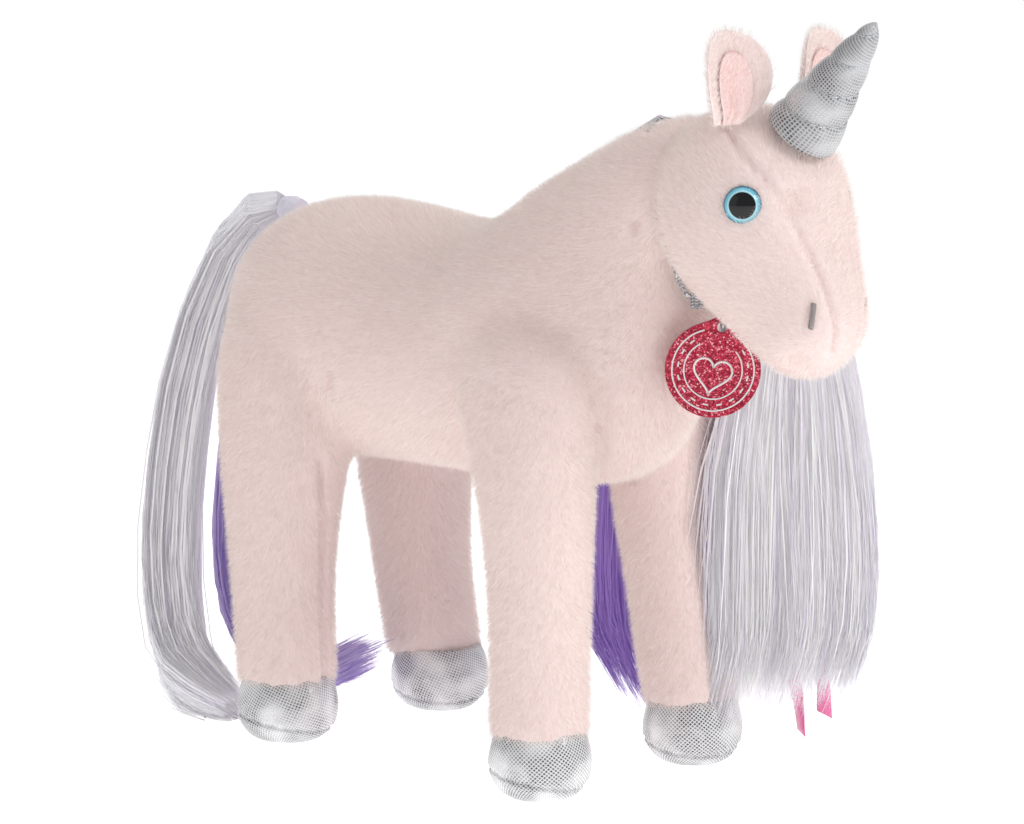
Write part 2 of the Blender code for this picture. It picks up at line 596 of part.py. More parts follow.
def main():
    clear_scene()
    make_torso()
    for label, x, y, r in (("fore_right", -LEG_X, FORE_Y, FORE_R), ("fore_left", LEG_X, FORE_Y, FORE_R),
                           ("hind_right", -LEG_X, HIND_Y, HIND_R), ("hind_left", LEG_X, HIND_Y, HIND_R)):
        make_leg(label, x, y, r)
    make_head()
    make_horn()
    for label, mirror in (("right", 1), ("left", -1)):
        make_ear(label, mirror)
        make_nostril(label, mirror)
    make_mane()
    make_tail()
    make_throat()


main()
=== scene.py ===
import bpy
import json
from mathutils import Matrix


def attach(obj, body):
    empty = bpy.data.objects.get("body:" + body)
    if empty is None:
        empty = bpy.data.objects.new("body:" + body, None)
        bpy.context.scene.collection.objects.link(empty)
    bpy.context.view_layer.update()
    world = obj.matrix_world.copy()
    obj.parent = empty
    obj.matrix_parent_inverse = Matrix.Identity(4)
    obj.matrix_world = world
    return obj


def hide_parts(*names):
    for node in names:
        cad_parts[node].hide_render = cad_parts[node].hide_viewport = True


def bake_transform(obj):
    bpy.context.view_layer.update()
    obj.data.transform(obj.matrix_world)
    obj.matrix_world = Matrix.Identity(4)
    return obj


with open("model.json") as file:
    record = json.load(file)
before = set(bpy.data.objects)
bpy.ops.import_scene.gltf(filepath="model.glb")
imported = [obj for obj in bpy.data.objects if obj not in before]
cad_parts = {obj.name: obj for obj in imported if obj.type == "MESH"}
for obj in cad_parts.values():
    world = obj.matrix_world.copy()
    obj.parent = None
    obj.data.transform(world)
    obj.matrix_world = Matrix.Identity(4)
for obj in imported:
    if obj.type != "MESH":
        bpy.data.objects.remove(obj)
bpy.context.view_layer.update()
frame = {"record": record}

import json
import math

import bpy
import numpy as np
from mathutils import Matrix, Vector

# ---------------------------------------------------------------- camera, light and floor
# Measurements below are in millimetres from a point on the floor between the four hooves, on the
# animal's middle plane: +x to its left, -y to its front, +z up.  The neck joint ties them to the frame.
hinges = {j["name"]: j for j in frame["record"]["behaviour"]["joints"]}
neck_joint = Vector(hinges["head_nod"]["pos_m"])
origin = neck_joint - Vector((0, -116, 222)) * 0.001


def at(x, y, z):
    return origin + Vector((x, y, z)) * 0.001


look = bpy.data.cameras.new("camera")
camera = bpy.data.objects.new("camera", look)
bpy.context.scene.collection.objects.link(camera)
turn, rise = math.radians(-45), math.radians(7.5)
right = Vector((math.cos(turn), math.sin(turn), 0))
ahead = Vector((-math.sin(turn) * math.cos(rise), math.cos(turn) * math.cos(rise), -math.sin(rise)))
above = right.cross(ahead)
centre = origin + right * 0.0081 + above * 0.1328
camera.location = centre - ahead * 1.4
camera.rotation_euler = Matrix((right, above, -ahead)).transposed().to_euler()
look.lens = 125.4
look.sensor_width = 36
look.clip_end = 20
bpy.context.scene.camera = camera


def soft_lamp(name, place, target, size, power, tint=(1, 1, 1)):
    lamp = bpy.data.lights.new(name, "AREA")
    lamp.shape, lamp.size, lamp.energy, lamp.color = "SQUARE", size, power, tint
    obj = bpy.data.objects.new(name, lamp)
    bpy.context.scene.collection.objects.link(obj)
    obj.location = place
    obj.rotation_euler = (Vector(target) - Vector(place)).to_track_quat("-Z", "Y").to_euler()


heart = at(0, -20, 130)
soft_lamp("key", camera.location + right * 1.25 + above * 0.75 + ahead * 0.42, heart, 0.55, 10.6)
soft_lamp("fill", camera.location - right * 1.1 + above * 0.35 + ahead * 0.3, heart, 1.1, 1.3)
soft_lamp("top", at(0, 0, 1250), heart, 1.1, 3.4)
soft_lamp("back", at(650, 800, 700), heart, 0.8, 2.0)


def feed(tree, socket, value):
    """Link an output into a socket, or set the socket's own constant."""
    if isinstance(value, bpy.types.NodeSocket):
        tree.links.new(value, socket)
    else:
        socket.default_value = value


def add(tree, kind, inputs=None, **settings):
    """A node with its settings, and its inputs fed by name or by number."""
    node = tree.nodes.new(kind)
    for key, value in settings.items():
        setattr(node, key, value)
    for key, value in (inputs or {}).items():
        feed(tree, node.inputs[key], value)
    return node


# The air is plain white where the camera sees it, and gives about half of that as light.
air = bpy.data.worlds.new("studio")
bpy.context.scene.world = air
air.use_nodes = True
tree = air.node_tree
seen = tree.nodes["Background"]
feed(tree, seen.inputs["Color"], (1, 1, 1, 1))
feed(tree, seen.inputs["Strength"], 1.0)
shed = add(tree, "ShaderNodeBackground", {"Color": (0.97, 0.98, 1, 1), "Strength": 0.42})
which = add(tree, "ShaderNodeLightPath")
either = add(tree, "ShaderNodeMixShader", {
    "Fac": which.outputs["Is Camera Ray"], 1: shed.outputs["Background"], 2: seen.outputs["Background"]})
feed(tree, tree.nodes["World Output"].inputs["Surface"], either.outputs["Shader"])
bpy.context.scene.view_settings.view_transform = "Standard"


# A floor that is nearly the colour of the air, so that only a faint shade gathers under the hooves.
def new_material(name, colour, roughness, **sockets):
    mat = bpy.data.materials.new(name)
    mat.use_nodes = True
    shader = mat.node_tree.nodes["Principled BSDF"]
    shader.inputs["Base Color"].default_value = (*colour, 1)
    shader.inputs["Roughness"].default_value = roughness
    for key, value in sockets.items():
        shader.inputs[key.replace("_", " ")].default_value = value
    return mat, mat.node_tree, shader


def mesh_piece(name, verts, faces, mat=None, smooth=True):
    mesh = bpy.data.meshes.new(name)
    mesh.from_pydata([tuple(v) for v in verts], [], [tuple(f) for f in faces])
    mesh.validate()
    if smooth:
        mesh.shade_smooth()
    if mat:
        mesh.materials.append(mat)
    obj = bpy.data.objects.new(name, mesh)
    bpy.context.scene.collection.objects.link(obj)
    return obj


floor_paper, _, _ = new_material("studio_paper", (0.9, 0.9, 0.9), 0.9, Specular_IOR_Level=0.1,
                                 Emission_Color=(1, 1, 1, 1), Emission_Strength=0.68)
corners = [at(-3000, -3000, -0.3), at(3000, -3000, -0.3), at(3000, 3000, -0.3), at(-3000, 3000, -0.3)]
floor = mesh_piece("floor", corners, [(0, 1, 2, 3)], floor_paper, smooth=False)

# ---------------------------------------------------------------- torso and legs: the sewn body
# Short pile plush cut in panels, sewn inside out and filled.  Two side covers meet along the spine,
# a gusset closes the chest and belly, and each leg is a sewn tube that opens into the body.


def angles(count):
    """Angles spread evenly over a full turn."""
    return [2 * math.pi * i / count for i in range(count)]


def outward(verts, faces):
    """Turn a closed form's faces to the outside."""
    volume = sum(verts[f[0]].dot(verts[p].cross(verts[q])) for f in faces for p, q in zip(f[1:-1], f[2:]))
    return verts, faces if volume > 0 else [f[::-1] for f in faces]


def ring_skin(rings, first=None, last=None):
    """Quads between equal rings, closed by a fan to a pole or by one flat face."""
    n = len(rings[0])
    verts = [Vector(v) for ring in rings for v in ring]
    faces = []
    for k in range(len(rings) - 1):
        a, b = k * n, k * n + n
        faces += [(a + i, a + (i + 1) % n, b + (i + 1) % n, b + i) for i in range(n)]
    end = (len(rings) - 1) * n
    if first is None:
        faces.append(tuple(range(n))[::-1])
    else:
        verts.append(Vector(first))
        faces += [(len(verts) - 1, (i + 1) % n, i) for i in range(n)]
    if last is None:
        faces.append(tuple(end + i for i in range(n)))
    else:
        verts.append(Vector(last))
        faces += [(len(verts) - 1, end + i, end + (i + 1) % n) for i in range(n)]
    return outward(verts, faces)


def flow(keys, count):
    """Smooth samples through rows of numbers."""
    keys = np.array(keys, float)
    ext = np.vstack([2 * keys[0] - keys[1], keys, 2 * keys[-1] - keys[-2]])
    out = []
    for s in np.linspace(0, len(keys) - 1, count):
        k = min(int(s), len(keys) - 2)
        t = s - k
        a, b, c, d = ext[k:k + 4]
        out.append(0.5 * (2 * b + (c - a) * t + (2 * a - 5 * b + 4 * c - d) * t * t + (3 * b - a - 3 * c + d) * t ** 3))
    return np.array(out)


pile_depth = 2.6
# centre y, centre z, lean in degrees, height above, height below, half width
trunk = [
    (119.5, 170, 0, 16, 18, 17), (114, 168.5, 0, 28, 30, 31), (104, 166, 0, 41, 41, 45),
    (88, 163, 0, 50, 49, 54), (70, 162, 0, 53, 51, 58), (45, 161, 0, 52, 50, 56.5),
    (18, 160, 0, 49.5, 49, 54), (-10, 160, 5, 49, 50, 53), (-32, 163, 15, 53, 55, 52.5),
    (-50, 172, 28, 52, 62, 48.5), (-62, 187, 38, 47, 58, 42.5), (-74, 202, 42, 40, 46, 36.5),
    (-86, 213, 36, 34.5, 35, 32.5), (-98, 221, 20, 31, 29, 30), (-110, 225, 5, 28, 26, 27), (-122, 225, 0, 20, 20, 20),
]


def trunk_skin():
    rings = []
    for y, z, lean, up, down, wide in flow(trunk, 46):
        s, c = math.sin(math.radians(lean)), math.cos(math.radians(lean))
        ring = []
        for t in angles(44):
            h = (up if math.cos(t) > 0 else down) - pile_depth
            h *= math.copysign(abs(math.cos(t)) ** 0.94, math.cos(t))
            x = (wide - pile_depth) * math.copysign(abs(math.sin(t)) ** 0.94, math.sin(t))
            ring.append(at(x, y + s * h, z + c * h))
        rings.append(ring)
    return ring_skin(rings, at(0, 121 - pile_depth, 170), at(0, -127, 225))


# height, half width across, half depth along, centre x, centre y
hind_leg = [(22, 18.2, 18.6, 42, 73), (34, 18.5, 19.0, 42, 73.5), (55, 18.6, 19.6, 42, 74.5), (75, 19.3, 21.2, 42, 75),
            (95, 20.5, 24.0, 41.5, 75), (112, 21.8, 27.0, 40.5, 75), (130, 23.5, 30, 38, 75.5), (150, 24.5, 32, 35, 76),
            (168, 22, 29, 32, 77), (182, 14, 18, 29, 78)]
fore_leg = [(22, 17.4, 17.4, 42, -68), (34, 17.6, 17.7, 42, -68), (60, 17.6, 17.8, 42, -68), (85, 18.4, 18.8, 42, -67.5),
            (105, 19.4, 20.6, 41.5, -66), (125, 21.0, 23.5, 39.5, -62), (145, 22.5, 27, 36, -57),
            (163, 21.5, 27, 32, -53), (178, 14, 18, 29, -50)]


# The two left legs lean back a little between hoof and belly: height, shift for the fore, for the hind.
left_lean = np.array([(22, 0, 3), (60, 8, 9), (95, 13, 12), (125, 9, 8), (150, 4, 3), (182, 0, 0)], float)


def leg_skin(rows, side):
    bent = 1 if rows is fore_leg else 2
    rings = []
    for z, wide, long, cx, cy in flow(rows, 34):
        cy += np.interp(z, left_lean[:, 0], left_lean[:, bent]) if side > 0 else 0
        rings.append([at(side * cx + wide * math.cos(t), cy + long * math.sin(t), z)
                      for t in angles(36)])
    top = rows[-1]
    return ring_skin(rings, None, at(side * top[3], top[4], top[0] + 4))


def joined(name, parts):
    verts, faces = [], []
    for v, f in parts:
        faces += [tuple(i + len(verts) for i in face) for face in f]
        verts += list(v)
    return mesh_piece(name, verts, faces)


def plain_mesh(obj):
    """Replace an object's mesh by its evaluated one, with no modifier left."""
    graph = bpy.context.evaluated_depsgraph_get()
    mesh = bpy.data.meshes.new_from_object(obj.evaluated_get(graph), preserve_all_data_layers=True, depsgraph=graph)
    obj.modifiers.clear()
    old, obj.data = obj.data, mesh
    bpy.data.meshes.remove(old)
    return obj


def one_skin(obj, cell, rounds, factor=0.5):
    """Melt overlapping closed forms into one skin and relax it."""
    melt = obj.modifiers.new("melt", "REMESH")
    melt.mode, melt.voxel_size = "VOXEL", cell * 0.001
    relax = obj.modifiers.new("relax", "SMOOTH")
    relax.factor, relax.iterations = factor, rounds
    plain_mesh(obj)
    obj.data.shade_smooth()
    return obj


def subdivide(obj):
    finer = obj.modifiers.new("finer", "SUBSURF")
    finer.levels = finer.render_levels = 1
    plain_mesh(obj)


def coords(mesh):
    out = np.empty(len(mesh.vertices) * 3, np.float32)
    mesh.vertices.foreach_get("co", out)
    return out.reshape(-1, 3).astype(float)


def set_coords(mesh, points):
    mesh.vertices.foreach_set("co", np.asarray(points, np.float32).ravel())
    mesh.update()


def normals_of(mesh):
    out = np.empty(len(mesh.vertices) * 3, np.float32)
    mesh.vertices.foreach_get("normal", out)
    return out.reshape(-1, 3)


def line_distance(points, line):
    """Distance in millimetres from each point to a line of points."""
    line = np.array([tuple(p) for p in line])
    best = np.full(len(points), 1e9)
    for a, b in zip(line[:-1], line[1:]):
        d = b - a
        t = np.clip(((points - a) @ d) / (d @ d), 0, 1)
        best = np.minimum(best, np.linalg.norm(points - (a + t[:, None] * d), axis=1))
    return best * 1000


def swell(obj, seams, pressure=4.0, cap=4.0, width=4.0):
    """Fill a closed sewn skin: cloth under inner pressure, held along its seams."""
    base = coords(obj.data)
    held = np.zeros(len(base))
    for line in seams:
        held = np.maximum(held, np.exp(-(line_distance(base, line) / width) ** 2))
    group = obj.vertex_groups.new(name="held")
    for k, w in enumerate(held):
        group.add([k], float(w), "REPLACE")
    cloth = obj.modifiers.new("cloth", "CLOTH")
    s = cloth.settings
    s.vertex_group_mass = "held"
    s.use_pressure, s.uniform_pressure_force = True, pressure
    s.tension_stiffness = s.compression_stiffness = 25
    s.bending_stiffness = 1.2
    s.pin_stiffness = 1.0
    s.effector_weights.gravity = 0
    s.quality = 6
    scene = bpy.context.scene
    for k in range(1, 21):
        scene.frame_set(k)
    plain_mesh(obj)
    scene.frame_set(1)
    moved = coords(obj.data) - base
    size = np.linalg.norm(moved, axis=1) + 1e-9
    moved *= (np.minimum(size, cap * 0.001) / size)[:, None]
    set_coords(obj.data, base + moved)
    obj.vertex_groups.clear()


body = joined("body_skin", [trunk_skin()] + [leg_skin(rows, side) for rows in (hind_leg, fore_leg) for side in (-1, 1)])
one_skin(body, 3.2, 8)

# Seam lines on the sewn body: the gusset's two edges, and the seam inside each hind and fore leg.
seam_lines = []
for side in (-1, 1):
    seam_lines.append([at(side * x, y, z) for x, y, z in flow(
        [(27, -101, 214), (30, -99, 190), (31, -92, 160), (27, -88, 135), (22, -84, 118), (20, -70, 112), (20, -50, 110),
         (26, -25, 113), (30, 0, 115), (30, 28, 115), (22, 45, 113)], 40)])
    seam_lines.append([at(side * x, y, z) for x, y, z in flow(
        [(52, 36, 150), (50, 42, 128), (44, 49, 108), (40, 54, 85), (38, 55.5, 55), (37, 55, 24)], 30)])
swell(body, seam_lines, 3.0, 3.0)
subdivide(body)


def sink(mesh, lines, depth, width):
    """Press the seams into the skin and keep how near each point is to one."""
    points = coords(mesh)
    near = np.zeros(len(points))
    for line in lines:
        near = np.maximum(near, np.exp(-(line_distance(points, line) / width) ** 2))
    set_coords(mesh, points - normals_of(mesh) * (near * depth * 0.001)[:, None])
    attribute = mesh.attributes.new("seam", "FLOAT", "POINT")
    attribute.data.foreach_set("value", near.astype(np.float32))


sink(body.data, seam_lines, 2.6, 1.9)

# The hem of each leg is cut straight above the hoof.
hem_height = 0.0245
points = coords(body.data)
points[points[:, 2] < hem_height, 2] = hem_height
set_coords(body.data, points)


def part_of(obj, name, chosen):
    """A copy of the faces whose middle passes a test, as its own piece."""
    mesh = obj.data
    middles = np.empty(len(mesh.polygons) * 3, np.float32)
    mesh.polygons.foreach_get("center", middles)
    keep = chosen((middles.reshape(-1, 3) - np.array(origin)) * 1000)
    faces = [tuple(p.vertices) for p, k in zip(mesh.polygons, keep) if k]
    used = sorted({i for f in faces for i in f})
    index = {old: new for new, old in enumerate(used)}
    piece = mesh_piece(name, [mesh.vertices[i].co for i in used], [[index[i] for i in f] for f in faces])
    values = np.empty(len(mesh.vertices), np.float32)
    if "seam" in mesh.attributes:
        mesh.attributes["seam"].data.foreach_get("value", values)
        piece.data.attributes.new("seam", "FLOAT", "POINT").data.foreach_set("value", values[used])
    return piece


def near_leg(p, end, side):
    """Inside the reach of one leg: beyond a slope that starts between belly and thigh."""
    along = (74 if end == "hind" else -66) + (6 if side > 0 else 0)
    slope = (side * p[:, 0] - 19) * 0.79 - (p[:, 2] - 113) * 0.62
    return (slope > 0) & (np.abs(p[:, 1] - along) < 37) & (p[:, 2] < 170) & (side * p[:, 0] > 0)


leg_names = [(end, side, f"leg_{end}_{'right' if side < 0 else 'left'}") for end in ("fore", "hind") for side in (-1, 1)]
skins = {}
for end, side, name in leg_names:
    skins[name] = part_of(body, f"{name}_plush", lambda p: near_leg(p, end, side))
torso_test = lambda p: ~np.any([near_leg(p, end, side) for end, side, _ in leg_names], axis=0)
skins["torso"] = part_of(body, "torso_plush", torso_test)

# ---------------------------------------------------------------- plush pile
# The cover's face: soft acrylic fibres about three millimetres long, combed back and down.


def two_tone(tree, factor, a, b):
    """A colour that goes from a to b; each is a constant or an output."""
    a, b = [c if isinstance(c, bpy.types.NodeSocket) else (*c, 1) for c in (a, b)]
    return add(tree, "ShaderNodeMix", {"Factor": factor, "A": a, "B": b}, data_type="RGBA").outputs["Result"]


def object_noise(tree, scale, **more):
    """Noise that is fixed to the object, from 0 to 1."""
    place = add(tree, "ShaderNodeTexCoord").outputs["Object"]
    return add(tree, "ShaderNodeTexNoise", {"Vector": place, "Scale": scale, **more}).outputs["Fac"]


def relief(tree, shader, height, strength, distance):
    """Raise the surface by a height output."""
    bump = add(tree, "ShaderNodeBump", {"Strength": strength, "Distance": distance, "Height": height})
    feed(tree, shader.inputs["Normal"], bump.outputs["Normal"])


def speckled(name, a, b, scale, rough, raised=True, **sockets):
    """Two close tones mixed by fine noise, which is also a faint relief."""
    mat, tree, shader = new_material(name, a, rough, **sockets)
    grain = object_noise(tree, scale)
    feed(tree, shader.inputs["Base Color"], two_tone(tree, grain, a, b))
    if raised:
        relief(tree, shader, grain, 0.3, 0.0003)
    return mat


def attribute(tree, name):
    return add(tree, "ShaderNodeAttribute", attribute_name=name).outputs["Fac"]


def see_through(tree, shader, colour, share):
    """Let a share of the light pass through, as thin fibres do."""
    through = add(tree, "ShaderNodeBsdfTranslucent", {"Color": colour})
    both = add(tree, "ShaderNodeMixShader", {"Fac": share, 1: shader.outputs["BSDF"], 2: through.outputs["BSDF"]})
    feed(tree, tree.nodes["Material Output"].inputs["Surface"], both.outputs["Shader"])


def pile_material(name, root, tip, deep):
    """Fibres that pale from root to tip, some of them in a deeper tone at random, and darker along seams as painted
    shade.
    """
    mat, tree, shader = new_material(name, tip, 0.85, Specular_IOR_Level=0.2, Sheen_Weight=0.35, Sheen_Roughness=0.5)
    colour = two_tone(tree, attribute(tree, "shade"), two_tone(tree, attribute(tree, "along"), root, tip), deep)
    feed(tree, shader.inputs["Base Color"], colour)
    see_through(tree, shader, colour, 0.25)
    return mat


plush_backing = speckled("plush_backing", (0.95, 0.83, 0.8), (0.86, 0.7, 0.69), 420, 0.9)
# The deep tone serves fibres that are deeper at random, and the painted shade along seams.
plush_pile = pile_material("plush_pile", (0.94, 0.83, 0.79), (1.0, 0.965, 0.925), (0.84, 0.7, 0.68))


def fibre_object():
    """One fibre: a narrow bent blade that tapers to a point, one millimetre long."""
    rows = [(0.0, 0.0, 0.5), (0.55, 0.10, 0.42)]
    verts = [(s * w * 0.1, bend, h) for h, bend, w in rows for s in (-1, 1)] + [(0, 0.3, 0.98)]
    fibre = mesh_piece("fibre", [Vector(v) * 0.001 for v in verts], [(0, 1, 3, 2), (2, 3, 4)], smooth=True)
    values = fibre.data.attributes.new("along", "FLOAT", "POINT")
    values.data.foreach_set("value", [0, 0, 0.55, 0.55, 1])
    fibre.hide_render = True
    return fibre


fibre = fibre_object()


def pile_tree():
    """Scatter fibres on a skin, lean them along a combing direction, tint them one by one, with painted shade along
    seams.
    """
    tree = bpy.data.node_groups.new("pile", "GeometryNodeTree")
    wanted = (("Geometry", "Geometry"), ("Fibres per square metre", "Float"), ("Length", "Float"), ("Width", "Float"),
              ("Comb", "Vector"), ("Stand", "Float"), ("Tousle", "Float"), ("Seed", "Int"), ("Fibre", "Object"),
              ("Material", "Material"))
    for label, kind in wanted:
        tree.interface.new_socket(label, in_out="INPUT", socket_type=f"NodeSocket{kind}")
    tree.interface.new_socket("Geometry", in_out="OUTPUT", socket_type="NodeSocketGeometry")
    given = tree.nodes.new("NodeGroupInput").outputs

    def vector(kind, *values, **scale):
        node = add(tree, "ShaderNodeVectorMath", {**dict(enumerate(values)), **scale}, operation=kind)
        return node.outputs["Value" if kind == "DOT_PRODUCT" else "Vector"]

    def scaled(a, scale):
        return vector("SCALE", a, Scale=scale)

    def number(kind, a, b):
        return add(tree, "ShaderNodeMath", {0: a, 1: b}, operation=kind).outputs["Value"]

    def chance(low, high, **seed):
        return add(tree, "FunctionNodeRandomValue", {2: low, 3: high, **seed}, data_type="FLOAT").outputs[1]

    spread = add(tree, "GeometryNodeDistributePointsOnFaces", {
        "Mesh": given["Geometry"], "Density": given["Fibres per square metre"], "Seed": given["Seed"]})
    normal = spread.outputs["Normal"]
    place = add(tree, "GeometryNodeInputPosition").outputs["Position"]

    # Each fibre leans along the comb, laid flat on the skin, with waves of tousled clumps and strays.
    flat = vector("SUBTRACT", given["Comb"], scaled(normal, vector("DOT_PRODUCT", given["Comb"], normal)))
    waves = add(tree, "ShaderNodeTexNoise", {"Vector": place, "Scale": 260, "Detail": 2})
    clump = scaled(vector("SUBTRACT", waves.outputs["Color"], (0.5, 0.5, 0.5)), 2.6)
    jitter = add(tree, "FunctionNodeRandomValue", {0: (-1, -1, -1), 1: (1, 1, 1), "Seed": given["Seed"]},
                 data_type="FLOAT_VECTOR").outputs[0]
    stray = scaled(vector("ADD", clump, scaled(jitter, 0.55)), given["Tousle"])
    lean = vector("ADD", vector("ADD", scaled(normal, given["Stand"]), flat), stray)
    turn_to = add(tree, "FunctionNodeAlignRotationToVector", {"Vector": lean}, axis="Z")
    spin = add(tree, "FunctionNodeAxisAngleToRotation", {
        "Axis": (0, 0, 1), "Angle": chance(0, 6.283, Seed=given["Seed"])})
    turned = add(tree, "FunctionNodeRotateRotation", {
        "Rotation": turn_to.outputs["Rotation"], "Rotate By": spin.outputs["Rotation"]}, rotation_space="LOCAL")

    # Fibres are shorter along a seam, and darker in tone there: painted shade for the seam's hollow.
    seam = add(tree, "GeometryNodeInputNamedAttribute", {"Name": "seam"}, data_type="FLOAT").outputs[0]
    short = number("SUBTRACT", 1.0, number("MULTIPLY", seam, 0.7))
    tall = number("MULTIPLY", number("MULTIPLY", given["Length"], chance(0.72, 1.18, Seed=given["Seed"])), short)
    size = add(tree, "ShaderNodeCombineXYZ", {"X": given["Width"], "Y": tall, "Z": tall})
    fibre_in = add(tree, "GeometryNodeObjectInfo", {"Object": given["Fibre"]})
    stand = add(tree, "GeometryNodeInstanceOnPoints", {
        "Points": spread.outputs["Points"], "Instance": fibre_in.outputs["Geometry"],
        "Rotation": turned.outputs["Rotation"], "Scale": size.outputs["Vector"]})
    patch = add(tree, "ShaderNodeTexNoise", {"Vector": place, "Scale": 42})
    broad = number("MULTIPLY", number("SUBTRACT", patch.outputs["Fac"], 0.5), 0.5)
    # Deeper tone from broad patches and at random per fibre, plus painted shade along the seams.
    tint = number("ADD", number("ADD", broad, chance(-0.15, 0.42)), number("MULTIPLY", seam, 0.9))
    keep = add(tree, "GeometryNodeStoreNamedAttribute", data_type="FLOAT", domain="INSTANCE")
    for key, value in (("Name", "shade"), ("Geometry", stand.outputs["Instances"]), ("Value", tint)):
        feed(tree, keep.inputs[key], value)
    real = add(tree, "GeometryNodeRealizeInstances", {"Geometry": keep.outputs["Geometry"]})
    add(tree, "NodeGroupOutput", {"Geometry": add(tree, "GeometryNodeSetMaterial", {
        "Geometry": real.outputs["Geometry"], "Material": given["Material"]}).outputs["Geometry"]})
    return tree


pile = pile_tree()


def grow_pile(skin, name, comb, per_mm2=2.5, length=3.6, width=1.3, stand=0.8, tousle=0.42, seed=1, mat=None):
    """Grow the pile on a copy of a skin and keep it as a plain mesh."""
    holder = bpy.data.objects.new(name, skin.data.copy())
    bpy.context.scene.collection.objects.link(holder)
    grow = holder.modifiers.new("pile", "NODES")
    grow.node_group = pile
    values = {"Fibres per square metre": per_mm2 * 1e6 * 1, "Length": length,
              "Width": width * 1, "Comb": comb, "Stand": stand, "Tousle": tousle,
              "Seed": seed, "Fibre": fibre, "Material": mat or plush_pile}
    for item in pile.interface.items_tree:
        if item.in_out == "INPUT" and item.name in values:
            grow[item.identifier] = values[item.name]
    plain_mesh(holder)
    return holder


def bend_with_leg(obj):
    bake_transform(obj)


for number, (end, side, name) in enumerate(leg_names):
    skin = skins[name]
    skin.data.materials.append(plush_backing)
    fur = grow_pile(skin, f"{name}_pile", (0.05 * side, 0.12, -0.75), seed=11 + number)
    for piece in (skin, fur):
        bend_with_leg(piece)
torso = skins["torso"]
torso.data.materials.append(plush_backing)
zones = [("neck", -400, -72), ("shoulder", -72, -20), ("barrel", -20, 48), ("rump", 48, 400)]
for number, (zone, front, back) in enumerate(zones):
    patch = part_of(torso, "patch", lambda p: (p[:, 1] > front) & (p[:, 1] <= back) & (p[:, 1] > -118))
    fur = grow_pile(patch, f"{zone}_pile", (0, 0.62, -0.42), seed=21 + number)
    bpy.data.objects.remove(patch)
    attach(fur, "torso")
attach(torso, "torso")
bpy.data.objects.remove(body)
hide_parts("torso_cover_right", "torso_cover_left", "belly_gusset", "torso_filling")
for end, side, name in leg_names:
    label = name[4:]
    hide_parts(f"leg_cover_{label}", f"leg_filling_{label}")

# ---------------------------------------------------------------- head
# Two side panels and a face panel, sewn and firmly filled.  Threads through the filling pull the
# plush in beside the eyes and at the corners of the mouth.
skull, brow, jaw = at(0, -132, 223), Vector((0, -0.832, 0.555)), Vector((0, -0.555, -0.832))
# along the head from crown to nose, half width, depth to the face, depth to the throat
head_rows = [(-30.5, 12.5, 12.5, 12.5), (-25.5, 20.5, 20.5, 20.5), (-16.5, 28.4, 28.4, 28.4), (-4, 32.6, 32.4, 32.2),
             (9, 33.2, 33.0, 32.2), (21, 30.6, 29.6, 30.0), (33, 26.2, 25.0, 26.2), (45, 22.2, 22.2, 22.4),
             (56, 18.8, 18.8, 18.2), (63, 14.6, 14.6, 14.0), (67, 9.2, 9.4, 9.0)]


def head_skin():
    rings = []
    for s, wide, front, rear in flow(head_rows, 40):
        ring = []
        for t in angles(48):
            depth = (front if math.cos(t) > 0 else rear) * math.copysign(abs(math.cos(t)) ** 0.9, math.cos(t))
            across = wide * math.copysign(abs(math.sin(t)) ** 0.9, math.sin(t))
            ring.append(skull + (Vector((across, 0, 0)) + brow * depth + jaw * s) * 0.001)
        rings.append(ring)
    return ring_skin(rings, skull - jaw * 0.0326, skull + jaw * 0.0692)


def snapped(obj, keys, count):
    """A line of points laid on a skin."""
    return [obj.closest_point_on_mesh(at(*p))[1] for p in flow(keys, count)]


def press(mesh, place, depth, width):
    """Pull a skin in around one point, as a thread through the filling does."""
    points = coords(mesh)
    far = np.linalg.norm(points - np.array(place), axis=1) * 1000
    set_coords(mesh, points - normals_of(mesh) * (depth * 0.001 * np.exp(-(far / width) ** 2))[:, None])


face = joined("head_plush", [head_skin()])
face_seams = []
for side in (-1, 1):
    face_seams.append(snapped(face, [(side * x, y, z) for x, y, z in (
        (22, -137, 256), (25, -146, 248), (24, -153, 239), (20, -162, 229), (16, -168, 218), (12, -174, 205),
        (10, -180, 192), (9, -184, 180), (7, -182, 170))], 40))
swell(face, face_seams, 2.5, 1.6)
subdivide(face)
for side in (-1, 1):
    press(face.data, face.closest_point_on_mesh(at(side * 13, -164, 224))[1], 2.6, 6.5)
    press(face.data, face.closest_point_on_mesh(at(side * 29, -153.9, 223.5))[1], 1.6, 8.5)
    press(face.data, face.closest_point_on_mesh(at(side * 14, -168, 165))[1], 1.8, 5.0)
sink(face.data, face_seams, 1.3, 1.4)
face.data.materials.append(plush_backing)
face_pile = grow_pile(face, "head_pile", (0, 0.42, 0.38), length=3.2, stand=0.75, tousle=0.4, seed=31)
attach(face, "head")
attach(face_pile, "head")
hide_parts("head_cover_right", "head_cover_left", "face_gusset", "head_filling")

